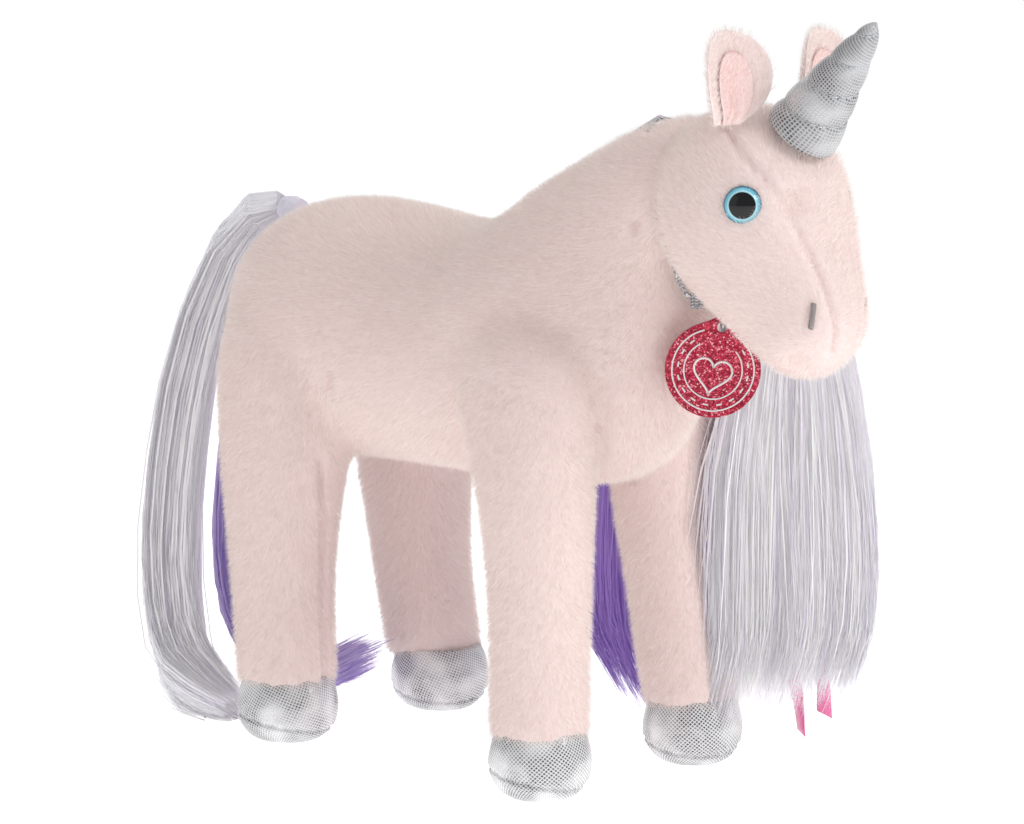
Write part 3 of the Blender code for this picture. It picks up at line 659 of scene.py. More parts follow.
# ---------------------------------------------------------------- ears
# Each ear is a plush leaf sewn to a smoother pink lining, turned out and cupped forwards, with a
# tuck down the middle of the lining where its base is pinched into the head seam.
ear_lining_pile = pile_material("ear_lining_pile", (0.93, 0.64, 0.6), (1.0, 0.84, 0.8), (0.92, 0.6, 0.58))
ear_tall, ear_wide = 31.5, 30.5
ear_rows = [(-0.06, 0.4, 3.2), (0.02, 0.55, 1.6), (0.12, 0.75, 0.3), (0.32, 0.95, 0), (0.55, 1.0, 0), (0.74, 0.9, 0),
            (0.88, 0.68, 0), (0.965, 0.38, 0)]
for label, m in (("right", 1), ("left", -1)):
    out = Vector((-0.1 * m, -0.995, 0)).normalized()
    wide = Vector((-out.y, out.x, 0))
    up = Vector((-0.1 * m, -0.02, 1)).normalized()
    base = Vector((-22 * m, -143.5, 252.8))

    def leaf(shift, thick, scale, tuck):
        rings = []
        for h, w, slide in flow(ear_rows, 26):
            half, t = ear_wide / 2 * w * scale, thick * (1 - 0.45 * h)
            ring = []
            for a in angles(32):
                x = half * math.cos(a)
                lift = shift + 0.026 * x * x + t / 2 * math.sin(a)
                lift -= tuck * math.exp(-(x / 1.8) ** 2) * max(0, 1 - h * 1.15)
                spot = base - Vector((m * slide, 0, 0)) + up * (h * ear_tall * (0.5 + scale / 2)) + wide * x
                ring.append(at(*(spot + out * lift)))
            rings.append(ring)
        top = base + up * (ear_tall * (0.5 + scale / 2)) + out * shift
        return ring_skin(rings, None, at(*top))

    shell = joined(f"ear_{label}_plush", [leaf(-1.6, 2.6, 1.0, 0)])
    inside = joined(f"ear_{label}_lining", [leaf(0.4, 1.2, 0.52, 2.0)])
    rows = np.array(ear_rows)
    bare = joined("bare", [leaf(-1.6, 2.6, 1.0, 0)])
    centre_mm = np.array([(Vector(p.center) - origin) * 1000 - base for p in bare.data.polygons])
    facing = np.array([p.normal.dot(out) for p in bare.data.polygons])
    high = centre_mm @ np.array(up) / ear_tall
    reach = np.interp(high, rows[:, 0], rows[:, 1]) * ear_wide / 2
    keep = (facing < 0.25) | (np.abs(centre_mm @ np.array(wide)) > reach * 0.46) | (high > 0.66)
    patch = part_of(bare, "patch", lambda p: keep)
    shell_pile = grow_pile(patch, f"ear_{label}_pile", (0, 0.15, 0.7), length=2.8, stand=0.6, tousle=0.3, seed=41 + m)
    lining_pile = grow_pile(inside, f"ear_{label}_nap", (0, 0, 0.7), per_mm2=5, length=1.5, width=0.9, stand=0.5,
                            tousle=0.15, seed=43 + m, mat=ear_lining_pile)
    for extra in (bare, patch):
        bpy.data.objects.remove(extra)
    shell.data.materials.append(plush_backing)
    inside.data.materials.append(plush_backing)
    for piece in (shell, inside, shell_pile, lining_pile):
        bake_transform(piece)
    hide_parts(f"ear_outer_{label}")
    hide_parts(f"ear_lining_{label}")

# ---------------------------------------------------------------- hooves and horn: silver lame
# Knitted grey cloth printed with a close grid of small foil squares.  Each hoof is a bag with a
# round sole sewn in, its seam puckered, and the filled cloth is tucked up inside the plush hem.


def ranged(tree, value, low, high, start=0.0, stop=1.0):
    """Map an output that runs from start to stop to a run from low to high."""
    return add(tree, "ShaderNodeMapRange", {
        "Value": value, "From Min": start, "From Max": stop, "To Min": low, "To Max": high}).outputs["Result"]


def lame(name, bright, dull, shadow):
    """A grid of foil squares on a grey knit.  Broad patches are painted reflection: in them the knit dulls and the
    squares go dark, as foil does where it faces away from the light.
    """
    mat, tree, shader = new_material(name, bright, 0.4, Specular_IOR_Level=0.6)

    def vector(kind, *values):
        return add(tree, "ShaderNodeVectorMath", dict(enumerate(values)), operation=kind).outputs["Vector"]

    weave = add(tree, "ShaderNodeUVMap", uv_map="weave").outputs["UV"]
    middle = vector("ABSOLUTE", vector("SUBTRACT", vector("FRACTION", weave), (0.5, 0.5, 0)))
    split = add(tree, "ShaderNodeSeparateXYZ", {"Vector": middle}).outputs
    reach = add(tree, "ShaderNodeMath", {0: split["X"], 1: split["Y"]}, operation="MAXIMUM").outputs["Value"]
    foil = ranged(tree, reach, 0.0, 1.0, 0.36, 0.28)
    chance = add(tree, "ShaderNodeTexWhiteNoise", {"Vector": vector("FLOOR", weave)}).outputs["Value"]
    # Painted reflection: where this patch noise is high the knit dulls and the squares go near black.
    patch = ranged(tree, object_noise(tree, 75, Detail=1), 0.0, 1.0, 0.34, 0.6)
    dark = add(tree, "ShaderNodeMath", {0: ranged(tree, chance, 0.7, 1.0), 1: patch}, operation="MULTIPLY")
    ground = two_tone(tree, patch, bright, dull)
    spot = two_tone(tree, dark.outputs["Value"], bright, shadow)
    feed(tree, shader.inputs["Base Color"], two_tone(tree, foil, ground, spot))
    feed(tree, shader.inputs["Metallic"], ranged(tree, foil, 0.1, 0.5))
    feed(tree, shader.inputs["Roughness"], ranged(tree, foil, 0.6, 0.24))
    relief(tree, shader, foil, 0.35, 0.0002)
    return mat


# Bright foil, then the knit and the squares as painted dark in the patches that stand for foil facing away from the
# light.
silver_lame = lame("silver_lame_cloth", (0.8, 0.8, 0.81), (0.74, 0.74, 0.75), (0.04, 0.04, 0.05))
# The horn's copy of the same cloth is darker all over: painted shade, because the horn faces the key lamp.
horn_lame_painted_darker = lame("silver_lame_horn_painted_darker", (0.56, 0.56, 0.57), (0.5, 0.5, 0.51), (0.03, 0.03, 0.035))
weave_pitch = 1.1


def weave_uv(obj, sides, place, twist=0.0):
    """Lay the weave round rings of points: place gives millimetres from column and row."""
    layer = obj.data.uv_layers.new(name="weave")
    rows_end = len(obj.data.vertices) // sides * sides
    c, s = math.cos(twist), math.sin(twist)
    for face in obj.data.polygons:
        columns = {i % sides for i in face.vertices if i < rows_end}
        round_again = 0 in columns and sides - 1 in columns
        for loop in face.loop_indices:
            i = obj.data.loops[loop].vertex_index
            column = i % sides if i < rows_end else sum(columns) / len(columns)
            row = i // sides if i < rows_end else (0 if min(face.vertices) < sides * 2 else rows_end // sides - 1)
            if round_again and column == 0:
                column = sides
            u, v = place(column / sides * 2 * math.pi, row)
            layer.data[loop].uv = ((u * c - v * s) / weave_pitch, (u * s + v * c) / weave_pitch)


hoof_sides = 72
# height, inset from the hoof's widest radius
hoof_rows = [(0.15, -12.0), (0.5, -9.6), (1.5, -7.2), (3.4, -4.7), (6.5, -2.4), (10, -1.0), (15, -0.5), (19.5, -1.2),
             (23.5, -2.5), (26.5, -4.0)]
for end, side, name in leg_names:
    r = 19.6 if end == "fore" else 20.6
    cx, cy = side * 42, -68 if end == "fore" else 73
    path = flow(hoof_rows, 56)
    rings = []
    for z, inset in path:
        ring = []
        for t in angles(hoof_sides):
            seam_z = 8.6 + 3.0 * math.sin(t) + side * 1.6 * math.cos(t)
            near = math.exp(-((z - seam_z) / 0.75) ** 2)
            pucker = 0.55 * math.sin(19 * t + 2 * math.sin(3 * t)) * math.exp(-((z - seam_z) / 2.6) ** 2)
            gather = 0.3 * math.sin(13 * t + math.sin(2 * t)) * math.exp(-((z - 24) / 4) ** 2)
            rr = r + inset - 1.2 * near + pucker + gather
            toe = 1 + (0.06 if math.sin(t) < 0 else 0) * math.sin(t) ** 2
            ring.append(at(cx + rr * math.cos(t), cy + rr * toe * math.sin(t), z))
        rings.append(ring)
    verts, faces = ring_skin(rings, at(cx, cy, 0.1), at(cx, cy, 26.5))
    hoof = mesh_piece(name.replace("leg", "hoof"), verts, faces, silver_lame)
    along = np.concatenate([[0], np.cumsum(np.hypot(*np.diff(path, axis=0).T))])
    weave_uv(hoof, hoof_sides, lambda t, row: (t * (r - 2), along[int(row)]), 0.7 if end == "fore" else 0.4)
    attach(hoof, name)
    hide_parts(f"hoof_wall_{name[4:]}", f"hoof_sole_{name[4:]}")

# The horn is a cone of the same cloth, filled, with a thread wound round it in a rising spiral.
horn_foot, horn_tip = Vector((0, -158.2, 250.4)), Vector((0, -189.4, 287.0))
horn_axis = (horn_tip - horn_foot).normalized()
horn_long = (horn_tip - horn_foot).length
horn_side = Vector((1, 0, 0))
horn_other = horn_axis.cross(horn_side)


def horn_radius(h, t):
    u = min(max(h / horn_long, 0), 0.995)
    taper = 12.8 * (1 - u) ** 0.85 * 0.86 + 2.2 * (1 - u ** 16)
    puff = abs(math.sin(math.pi * 4 * u - t / 2))
    crease = (1 - puff) ** 3
    ripple = 0.22 * math.sin(17 * t + 9 * u) * crease
    return taper + 0.35 * puff - 1.0 * crease * (1 - 0.6 * u) + ripple * (1 - u)


def on_horn(h, t, lift=0.0):
    """A point on the horn's cloth, h along it and t round it, lifted off it by some millimetres."""
    r = horn_radius(h, t) + lift
    return at(*(horn_foot + horn_axis * h + horn_side * (r * math.cos(t)) + horn_other * (r * math.sin(t))))


horn_sides = 56
heights = [horn_long * (-0.06 + 1.05 * k / 119) for k in range(120)]
rings = [[on_horn(h, t) for t in angles(horn_sides)] for h in heights]
verts, faces = ring_skin(rings, None, at(*horn_tip))
# The horn wears the darker copy of the cloth, whose darkness is painted shade.
horn = mesh_piece("horn", verts, faces, horn_lame_painted_darker)
weave_uv(horn, horn_sides, lambda t, row: (t * 9, heights[int(row)]), 0.12)
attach(horn, "head")
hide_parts("horn_cover")


def tube_rows(path, radius, sides=8):
    """Rings swept along points without twist."""
    rings, side = [], None
    for k, p in enumerate(path):
        tangent = (path[min(k + 1, len(path) - 1)] - path[max(k - 1, 0)]).normalized()
        side = tangent.orthogonal().normalized() if side is None else (side - tangent * side.dot(tangent)).normalized()
        other = tangent.cross(side)
        rings.append([p + (side * math.cos(a) + other * math.sin(a)) * radius
                      for a in angles(sides)])
    return rings


def yarn_material(name, colour, dark, pitch, metal=0.0, rough=0.5):
    """Thread or cord whose plies show as slanted stripes round it."""
    mat, tree, shader = new_material(name, colour, rough, Metallic=metal)
    place = add(tree, "ShaderNodeTexCoord").outputs["Object"]
    plies = add(tree, "ShaderNodeTexWave", {"Vector": place, "Scale": pitch, "Distortion": 1.5, "Detail": 2},
                bands_direction="DIAGONAL").outputs["Fac"]
    feed(tree, shader.inputs["Base Color"], two_tone(tree, plies, dark, colour))
    relief(tree, shader, plies, 0.5, 0.0001)
    return mat


silver_thread = yarn_material("silver_thread", (0.75, 0.76, 0.78), (0.3, 0.3, 0.33), 900, 0.6, 0.35)
wound = []
for k in range(260):
    u = 0.01 + 0.93 * k / 259
    wound.append(on_horn(u * horn_long, 2 * math.pi * 4 * u, 0.12))
thread = mesh_piece("horn_winding", *ring_skin(tube_rows(wound, 0.0003, 6)), silver_thread)
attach(thread, "head")
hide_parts("horn_thread")

# ---------------------------------------------------------------- eyes and nostrils
# Moulded domed eyes with a pearly blue ring painted behind a clear black-pupilled lens, locked
# through the plush by washers.  Each nostril is one short row of grey satin stitch.
def ramped(tree, factor, first, last, between):
    """A colour ramp with (position, colour) stops between its end colours."""
    node = add(tree, "ShaderNodeValToRGB", {"Fac": factor})
    stops = node.color_ramp.elements
    stops[0].color, stops[1].color = (*first, 1), (*last, 1)
    for position, colour in between:
        stops.new(position).color = (*colour, 1)
    return node.outputs["Color"]


lens, tree, shader = new_material("eye_lens", (0.01, 0.01, 0.012), 0.06, Specular_IOR_Level=0.25, Coat_Weight=0.4,
                                  Coat_Roughness=0.02)
pupil, rim = (0.004, 0.004, 0.005), (0.01, 0.05, 0.08)
iris = ramped(tree, attribute(tree, "radial"), pupil, rim, (
    (0.68, pupil), (0.71, (0.5, 0.82, 0.9)), (0.8, (0.25, 0.62, 0.76)), (0.91, (0.12, 0.42, 0.58)),
    (0.95, (0.02, 0.12, 0.2))))
pearl = ranged(tree, object_noise(tree, 900), 0.82, 1.12)
mixed = add(tree, "ShaderNodeVectorMath", {0: iris, "Scale": pearl}, operation="SCALE")
feed(tree, shader.inputs["Base Color"], mixed.outputs["Vector"])

eye_sides, eye_radius = 64, 7.2
# radius, height above the rim
dome = [(5.5, -6.0), (6.6, -2.6), (7.1, -1.4), (7.2, -0.8), (7.12, -0.3), (6.95, 0.2), (6.8, 0.45), (6.5, 0.85), (6.1, 1.25),
        (5.6, 1.65), (5.1, 1.95), (4.9, 2.06), (4.7, 2.16), (4.0, 2.5), (3.2, 2.8), (2.3, 3.02), (1.3, 3.15), (0.5, 3.2)]
for label, side in (("right", -1), ("left", 1)):
    spot = Vector((side * 29, -153.9, 223.5))
    axis = (spot - Vector((0, -132, 223))).normalized()
    a, b = axis.orthogonal().normalized(), axis.cross(axis.orthogonal().normalized())
    rings = [[at(*(spot + axis * (h - 2.0 - (0.8 if side > 0 else 0)) + (a * math.cos(t) + b * math.sin(t)) * r * 0.95))
              for t in angles(eye_sides)] for r, h in dome]
    verts, faces = ring_skin(rings, None, at(*(spot + axis * 1.22)))
    eye = mesh_piece(f"eye_{label}_dome", verts, faces, lens)
    values = [r / eye_radius if h > -0.9 else 1.0 for r, h in dome for _ in range(eye_sides)] + [0.0]
    eye.data.attributes.new("radial", "FLOAT", "POINT").data.foreach_set("value", values)
    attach(eye, "head")
    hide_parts(f"eye_{label}")

grey_floss = yarn_material("grey_floss", (0.42, 0.37, 0.37), (0.2, 0.17, 0.17), 700, 0.0, 0.45)
for label, side in (("right", -1), ("left", 1)):
    pieces = []
    for k in range(19):
        s = -4.4 + 8.8 * k / 18
        guess = Vector((side * (15.4 - 0.1 * s), -175.0 + 0.3 * s, 185.5 - s)) if side < 0 else Vector((19, -169.5 + 0.3 * s, 184.5 - s))
        spot = face.closest_point_on_mesh(at(*guess))[1]
        normal = face.closest_point_on_mesh(at(*guess))[2]
        along = Vector((0.15 * -side, 0.25, -1))
        cross = normal.cross(along).normalized() + along * 0.25
        arc = [spot + normal * (0.0019 - 0.0006 * q * q) + cross * (0.0006 * q) for q in np.linspace(-1.25, 1.25, 7)]
        pieces.append(ring_skin(tube_rows(arc, 0.00033, 6)))
    stitch = joined(f"nostril_{label}", pieces)
    stitch.data.materials.append(grey_floss)
    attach(stitch, "head")
    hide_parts(f"nostril_stitch_{label}")

# ---------------------------------------------------------------- mane
# Long straight synthetic hair sewn to a narrow tape along the left of the crest: silver white with
# lavender streaks outside, a violet lock inside, tied once with a thin satin ribbon.


def hair_with_painted_glow(name, light, mid, deep, lift):
    """Satin strands in three tones.  Their faint glow is painted light, an emission that stands in for the light pale
    fibres pass to each other.
    """
    mat, tree, shader = new_material(name, mid, 0.34, Specular_IOR_Level=0.55, Sheen_Weight=0.3, Emission_Strength=lift)
    colour = ramped(tree, attribute(tree, "tone"), deep, light, ((0.45, mid),))
    feed(tree, shader.inputs["Base Color"], colour)
    # The strands glow in their own colour: painted light.
    feed(tree, shader.inputs["Emission Color"], colour)
    see_through(tree, shader, colour, 0.16)
    return mat


# The last number of each is the strength of its painted glow.
white_hair = hair_with_painted_glow("hair_white_strands", (1.0, 1.0, 1.0), (0.97, 0.95, 0.99), (0.8, 0.73, 0.93), 0.035)
violet_hair = hair_with_painted_glow("hair_violet_strands", (0.42, 0.25, 0.72), (0.23, 0.11, 0.5), (0.12, 0.05, 0.32), 0.06)
lilac_hair = hair_with_painted_glow("hair_lilac_strands", (0.75, 0.66, 0.9), (0.5, 0.38, 0.74), (0.25, 0.14, 0.5), 0.06)


def strands(name, columns, stops, depth, count, mat, seed, width=0.75, clumps=40, pull=0.55, stray=1.0, short=0.16,
            steps=11):
    """Thin tapering ribbons combed between guide lines.

    columns are guide lines from root to tip with stops across the lock from 0 to 1.  depth is half the
    lock's thickness from root to tip.  Strands gather into clumps towards their tips.
    """
    chance = np.random.default_rng(seed)
    count = count
    width = width * 1
    grid = np.stack([flow(c, 60) for c in columns], 1)
    rows = np.linspace(0, 1, 60)
    across = grid[:, -1] - grid[:, 0]
    run = np.gradient(grid.mean(1), axis=0)
    out = np.cross(run, across)
    out /= np.linalg.norm(out, axis=1)[:, None] + 1e-9
    v0, d0 = chance.random(count), chance.uniform(-1, 1, count)
    own = chance.integers(0, clumps, count)
    cv, cd = chance.random(clumps), chance.uniform(-0.8, 0.8, clumps)
    near = np.argmin(np.abs(v0[:, None] - cv[None, :]) + 0.15 * chance.random((count, clumps)), 1)
    own = np.where(chance.random(count) < 0.85, near, own)
    last = 1 - short * chance.random(count) ** 1.5 - 0.5 * short * chance.random(clumps)[own]
    s = np.linspace(0, 1, steps)[None, :] * last[:, None]
    gather = pull * np.clip((s - 0.12) / 0.88, 0, 1) ** 0.8
    wander = chance.normal(0, 0.012, (count, 1)) * s + 0.012 * np.sin(s * 5 + chance.random((count, 1)) * 6.28) * s
    wild = (chance.random((count, 1)) < 0.05) * chance.normal(0, 0.10 * stray, (count, 1)) * s ** 2
    v = v0[:, None] + (cv[own] - v0)[:, None] * gather + wander + wild
    d = d0[:, None] + (cd[own] - d0)[:, None] * gather * 0.7
    d = d + (chance.random((count, 1)) < 0.05) * chance.normal(0, 1.6 * stray, (count, 1)) * s ** 2
    k = np.clip(s * 59, 0, 58.999)
    i, f = k.astype(int), (k % 1)[..., None]
    stops = np.array(stops, float)
    low = np.clip(np.searchsorted(stops, v, side="right") - 1, 0, len(stops) - 2)
    w = ((v - stops[low]) / (stops[low + 1] - stops[low]))[..., None]
    here = (grid[i, low] * (1 - w) + grid[i, low + 1] * w) * (1 - f)
    here = here + (grid[i + 1, low] * (1 - w) + grid[i + 1, low + 1] * w) * f
    thick = np.interp(s, np.linspace(0, 1, len(depth)), depth)
    here = here + out[i] * (d * thick)[..., None]
    tangent = np.gradient(here, axis=1)
    tangent /= np.linalg.norm(tangent, axis=2)[..., None] + 1e-9
    spin = chance.random(count) * math.pi
    lateral = across[i] / (np.linalg.norm(across[i], axis=2)[..., None] + 1e-9)
    blade = lateral * np.cos(spin)[:, None, None] + out[i] * np.sin(spin)[:, None, None] * 0.22
    blade -= tangent * np.sum(blade * tangent, axis=2)[..., None]
    blade /= np.linalg.norm(blade, axis=2)[..., None] + 1e-9
    taper = np.interp(np.linspace(0, 1, steps), [0, 0.1, 0.75, 1], [0.7, 1, 0.85, 0.12])
    wide = width * (0.6 + 0.8 * chance.random(count))[:, None] * taper[None, :] / 2
    left, right_ = here - blade * wide[..., None], here + blade * wide[..., None]
    points = np.stack([left, right_], 2).reshape(-1, 3) * 0.001 + np.array(origin)
    points[:, 2] = np.maximum(points[:, 2], 0.0008 + 0.001 * chance.random(len(points)))
    start = (np.arange(count) * steps * 2)[:, None] + (np.arange(steps - 1) * 2)[None, :]
    quads = np.stack([start, start + 1, start + 3, start + 2], 2).reshape(-1, 4)
    mesh = bpy.data.meshes.new(name)
    mesh.vertices.add(len(points))
    mesh.vertices.foreach_set("co", points.astype(np.float32).ravel())
    mesh.loops.add(quads.size)
    mesh.loops.foreach_set("vertex_index", quads.ravel().astype(np.int32))
    mesh.polygons.add(len(quads))
    mesh.polygons.foreach_set("loop_start", (np.arange(len(quads)) * 4).astype(np.int32))
    mesh.update(calc_edges=True)
    mesh.validate()
    mesh.shade_smooth()
    tone = np.clip(0.7 + 0.22 * chance.normal(0, 1, clumps)[own] + 0.16 * chance.normal(0, 1, count), 0, 1)
    tone = np.repeat(tone, steps * 2)
    mesh.attributes.new("tone", "FLOAT", "POINT").data.foreach_set("value", tone.astype(np.float32))
    mesh.materials.append(mat)
    obj = bpy.data.objects.new(name, mesh)
    bpy.context.scene.collection.objects.link(obj)
    return obj


wrap_edge = [(18, -100, 251.5), (27, -106, 246), (37, -110, 231), (40, -107, 205), (38, -99, 172), (38, -84, 130),
             (39, -79, 85), (38, -80, 45), (27, -78, 9)]
white_front = [(18, -98, 252.5), (31, -103, 246), (44, -110, 231), (54, -116, 205), (64, -123, 172), (70, -130, 125),
               (71, -134, 82), (70, -132, 50), (69, -122, 25)]
white_back = [(19, -34, 228.5), (38, -34, 224), (54, -32, 212), (66, -30, 190), (73, -28, 160), (75.5, -28, 120),
              (75.5, -30, 75), (75, -38, 42), (73, -54, 6)]
violet_front = [(12.5, -62, 241), (33, -62, 231), (47, -60, 212), (56.5, -58, 190), (63, -56, 160), (66.6, -54, 120),
                (67.2, -54, 75), (67.2, -56, 35), (67, -62, 8)]
violet_back = [(14, -22, 218.5), (37, -16, 209.5), (50, -10, 194), (59, -4, 175), (64.5, 2, 152), (67, 15, 115),
               (67.6, 20, 70), (67.6, 16, 38), (67.4, -14, 6)]
mane = strands("mane_outer", [wrap_edge, white_front, white_back], (0, 0.42, 1), [0.8, 2.0, 2.6, 3.0, 3.2, 3.0, 2.4],
               9200, white_hair, 51, clumps=190, pull=0.4, stray=0.8)
inner_lock = strands("mane_inner", [violet_front, violet_back], (0, 1), [0.6, 1.2, 1.5, 1.6, 1.6, 1.4, 1.0],
                     3800, violet_hair, 52, clumps=70, pull=0.4, stray=0.5)
behind_edge = [(x + 3, y + 3, z) for x, y, z in wrap_edge]
edge_lock = strands("mane_edge", [wrap_edge, behind_edge], (0, 1), [0.6, 1.2, 1.5, 1.5, 1.2], 340, violet_hair, 53,
                    clumps=5, pull=0.3, stray=0.3, short=0.5)
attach(edge_lock, "mane")
for piece, node in ((mane, "mane_white"), (inner_lock, "mane_purple")):
    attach(piece, "mane")
    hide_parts(node)

tape = yarn_material("weft_tape", (0.9, 0.84, 0.9), (0.6, 0.52, 0.66), 420, 0.0, 0.8)


def dress(node, mat):
    """Give a CAD node that stays in view a finer material."""
    for slot in bpy.data.objects[node].material_slots:
        slot.material = mat


dress("mane_weft", tape)

satin = speckled("pink_satin", (0.72, 0.09, 0.28), (0.95, 0.26, 0.5), 1400, 0.3, raised=False,
                 Specular_IOR_Level=0.6, Sheen_Weight=0.4)


def band(keys, half, roll, count=46, thick=0.14):
    """A narrow ribbon along a line; roll turns it about the line from start to end, in radians."""
    line = [Vector(p) for p in flow(keys, count)]
    rings = []
    for k, p in enumerate(line):
        tangent = (line[min(k + 1, count - 1)] - line[max(k - 1, 0)]).normalized()
        u = k / (count - 1)
        flat = tangent.cross(Vector((1, 0, 0))).normalized()
        lift = flat.cross(tangent).normalized()
        angle = roll * math.sin(u * math.pi * 1.3)
        wide = flat * math.cos(angle) + lift * math.sin(angle)
        normal = tangent.cross(wide)
        slant = tangent * (1.6 if k == count - 1 else 0)
        rings.append([at(*(p + wide * (half * a) + slant * a + normal * (thick * b)))
                      for a, b in ((-1, -1), (0, -1), (1, -1), (1, 1), (0, 1), (-1, 1))])
    return ring_skin(rings)


ribbon = joined("mane_bow", [
    band([(81.6, -72, 100), (81.6, -70, 78), (81.2, -78, 50), (80.2, -88, 26), (79, -92, 9)], 3.0, 0.5),
    band([(81.6, -72, 100), (82.2, -86, 78), (81.6, -96, 54), (80.6, -101, 34), (79.5, -103, 18)], 3.0, -0.6),
    band([(81.6, -72, 100), (84, -84, 112), (83.4, -94, 104), (82.4, -88, 96), (81.8, -74, 99)], 2.9, 0.3),
    band([(81.6, -72, 100), (84, -60, 112), (83.4, -50, 104), (82.4, -56, 96), (81.8, -70, 99)], 2.9, -0.3)])
ribbon.data.materials.append(satin)
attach(ribbon, "mane")
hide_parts("mane_ribbon")
knot_rings = [[at(84 + r * math.cos(t), -72 + h, 100 + 0.85 * r * math.sin(t) + 0.2 * h)
               for t in angles(24)]
              for h, r in ((-2.5, 1.6), (-2.2, 2.5), (-1.0, 2.9), (0, 2.7), (1.0, 2.9), (2.2, 2.5), (2.5, 1.6))]
bow_knot = mesh_piece("mane_bow_knot", *ring_skin(knot_rings), satin)
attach(bow_knot, "mane")
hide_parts("ribbon_knot")

# ---------------------------------------------------------------- tail
# A bundle of the same hair bound with thread and sewn into the seam above the rump: a white fall
# outside that curls in at its end, and a lilac lock inside.


def round_guides(path, wide, thick, turn=Vector((1, -1, 0))):
    """Guide lines over the near, middle and far side of a round lock."""
    line = [Vector(p) for p in flow(path, 24)]
    guides = ([], [], [])
    for k, p in enumerate(line):
        u = k / 23
        w = float(np.interp(u, np.linspace(0, 1, len(wide)), wide))
        tangent = (line[min(k + 1, 23)] - line[max(k - 1, 0)]).normalized()
        out = tangent.cross(turn.normalized()).normalized()
        for guide, a in zip(guides, (-1, 0, 1)):
            guide.append(tuple(p + out * (w * a)))
    return guides


white_fall = [(0, 122, 209), (-4, 137, 202), (-9, 151.5, 178), (-15, 162, 140), (-19, 166.5, 105), (-23.5, 167, 66),
              (-28, 159, 32), (-33, 144, 14), (-37, 124, 7), (-38, 108, 4.5)]
lilac_fall = [(2, 121.5, 199.5), (0, 127, 188), (-2, 134, 166), (-5, 141, 136), (-7, 146, 104), (-9, 148, 70),
              (-10, 143, 42), (-8, 132, 22), (-5, 116, 15), (-1, 98, 17), (3, 84, 24), (5, 68, 32)]
outer_tail = strands("tail_outer", round_guides(white_fall, [4, 7, 11, 13, 14, 14, 13, 10, 6], None), (0, 0.5, 1),
                     [3, 7, 10, 11.5, 12, 12, 12, 10, 7], 7400, white_hair, 61, clumps=120, pull=0.3, stray=0.2)
inner_tail = strands("tail_inner", round_guides(lilac_fall, [2.6, 4, 5.5, 7, 7, 7, 7, 7, 7, 6], None), (0, 0.5, 1),
                     [3, 4.5, 5.5, 6, 6, 6, 6, 6, 7, 9], 3600, lilac_hair, 62, clumps=60, pull=0.3, stray=0.3, short=0.3)
for piece, node in ((outer_tail, "tail_white"), (inner_tail, "tail_lavender")):
    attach(piece, "tail")
    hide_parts(node)
binding = yarn_material("tail_binding", (0.9, 0.88, 0.94), (0.6, 0.56, 0.7), 520, 0.0, 0.5)
dress("tail_wrap", binding)

# ---------------------------------------------------------------- neck cord and hang tag
# A thin two-ply cord of grey and metallic yarn tied round the neck.  Its loop carries a round hang
# tag of two red glitter cards, printed with a plain ring of dashes and a heart.
cord_yarn = yarn_material("cord_yarn", (0.78, 0.79, 0.8), (0.2, 0.2, 0.22), 520, 0.45, 0.35)


def two_ply(line, radius, pitch, closed=False):
    """Two yarns twisted about a line of points, in metres."""
    line = [Vector(p) for p in line]
    walked, spots = 0.0, ([], [])
    side = None
    for k, p in enumerate(line):
        before, after = line[max(k - 1, 0)], line[min(k + 1, len(line) - 1)]
        tangent = (after - before).normalized()
        side = tangent.orthogonal().normalized() if side is None else (side - tangent * side.dot(tangent)).normalized()
        other = tangent.cross(side)
        walked += (p - before).length
        angle = 2 * math.pi * walked / pitch
        for ply in (0, 1):
            a = angle + math.pi * ply
            spots[ply].append(p + (side * math.cos(a) + other * math.sin(a)) * radius * 0.46)
    return [ring_skin(tube_rows(spot, radius * 0.52, 7)) for spot in spots]


crest, throat = Vector((0, -89, 250.4)), Vector((-4, -110, 186))
middle, half = (crest + throat) / 2, (crest - throat) / 2
cord_line = []
for k in range(421):
    t = math.radians(186) + math.radians(348) * k / 420
    lower = max(0, -math.cos(t))
    girth = Vector((21.5 * math.sin(t) * (1 - 0.25 * lower), -9 * math.sin(t) ** 2, 0))
    cord_line.append(at(*(middle + half * math.cos(t) + girth)))
neck_cord = joined("neck_cord_twist", two_ply(cord_line, 0.00095, 0.0042))
neck_cord.data.materials.append(cord_yarn)
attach(neck_cord, "torso")
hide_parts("neck_cord")
knot_at = Vector((-5.8, -112.0, 185.7))
coil = [at(*(knot_at + Vector((2.0 * math.cos(t), 2.0 * math.sin(t), -2.6 + 5.2 * k / 119))))
        for k, t in ((k, 2 * math.pi * 4.5 * k / 119) for k in range(120))]
core = [at(*(knot_at + Vector((0, 0, z)))) for z in (-3, -1.5, 0, 1.5, 3)]
cord_knot = joined("neck_cord_knot", [ring_skin(tube_rows(coil, 0.0006, 7)), ring_skin(tube_rows(core, 0.0018, 12))])
cord_knot.data.materials.append(cord_yarn)
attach(cord_knot, "torso")
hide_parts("cord_knot")

tag_middle = Vector((-4, -118.4, 160.8))
tag_out, tag_across, tag_up = Vector((-0.707, -0.707, 0)), Vector((0.707, -0.707, 0)), Vector((0, 0, 1))
tilt = Matrix.Rotation(math.radians(-12), 3, tag_out)
hole = tag_middle + tilt @ Vector((0, 0, 15.9))
loop_top = hole + Vector((0, 0, 5.8))
loop_line = [at(*(hole.lerp(loop_top, 0.5) + tag_out * (2.6 * math.sin(t)) + tag_up * (2.9 * math.cos(t))))
             for t in (2 * math.pi * k / 60 for k in range(61))]
loop = joined("tag_cord_loop", two_ply(loop_line, 0.0007, 0.0031))
loop.data.materials.append(cord_yarn)
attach(loop, "tag")
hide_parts("tag_loop")

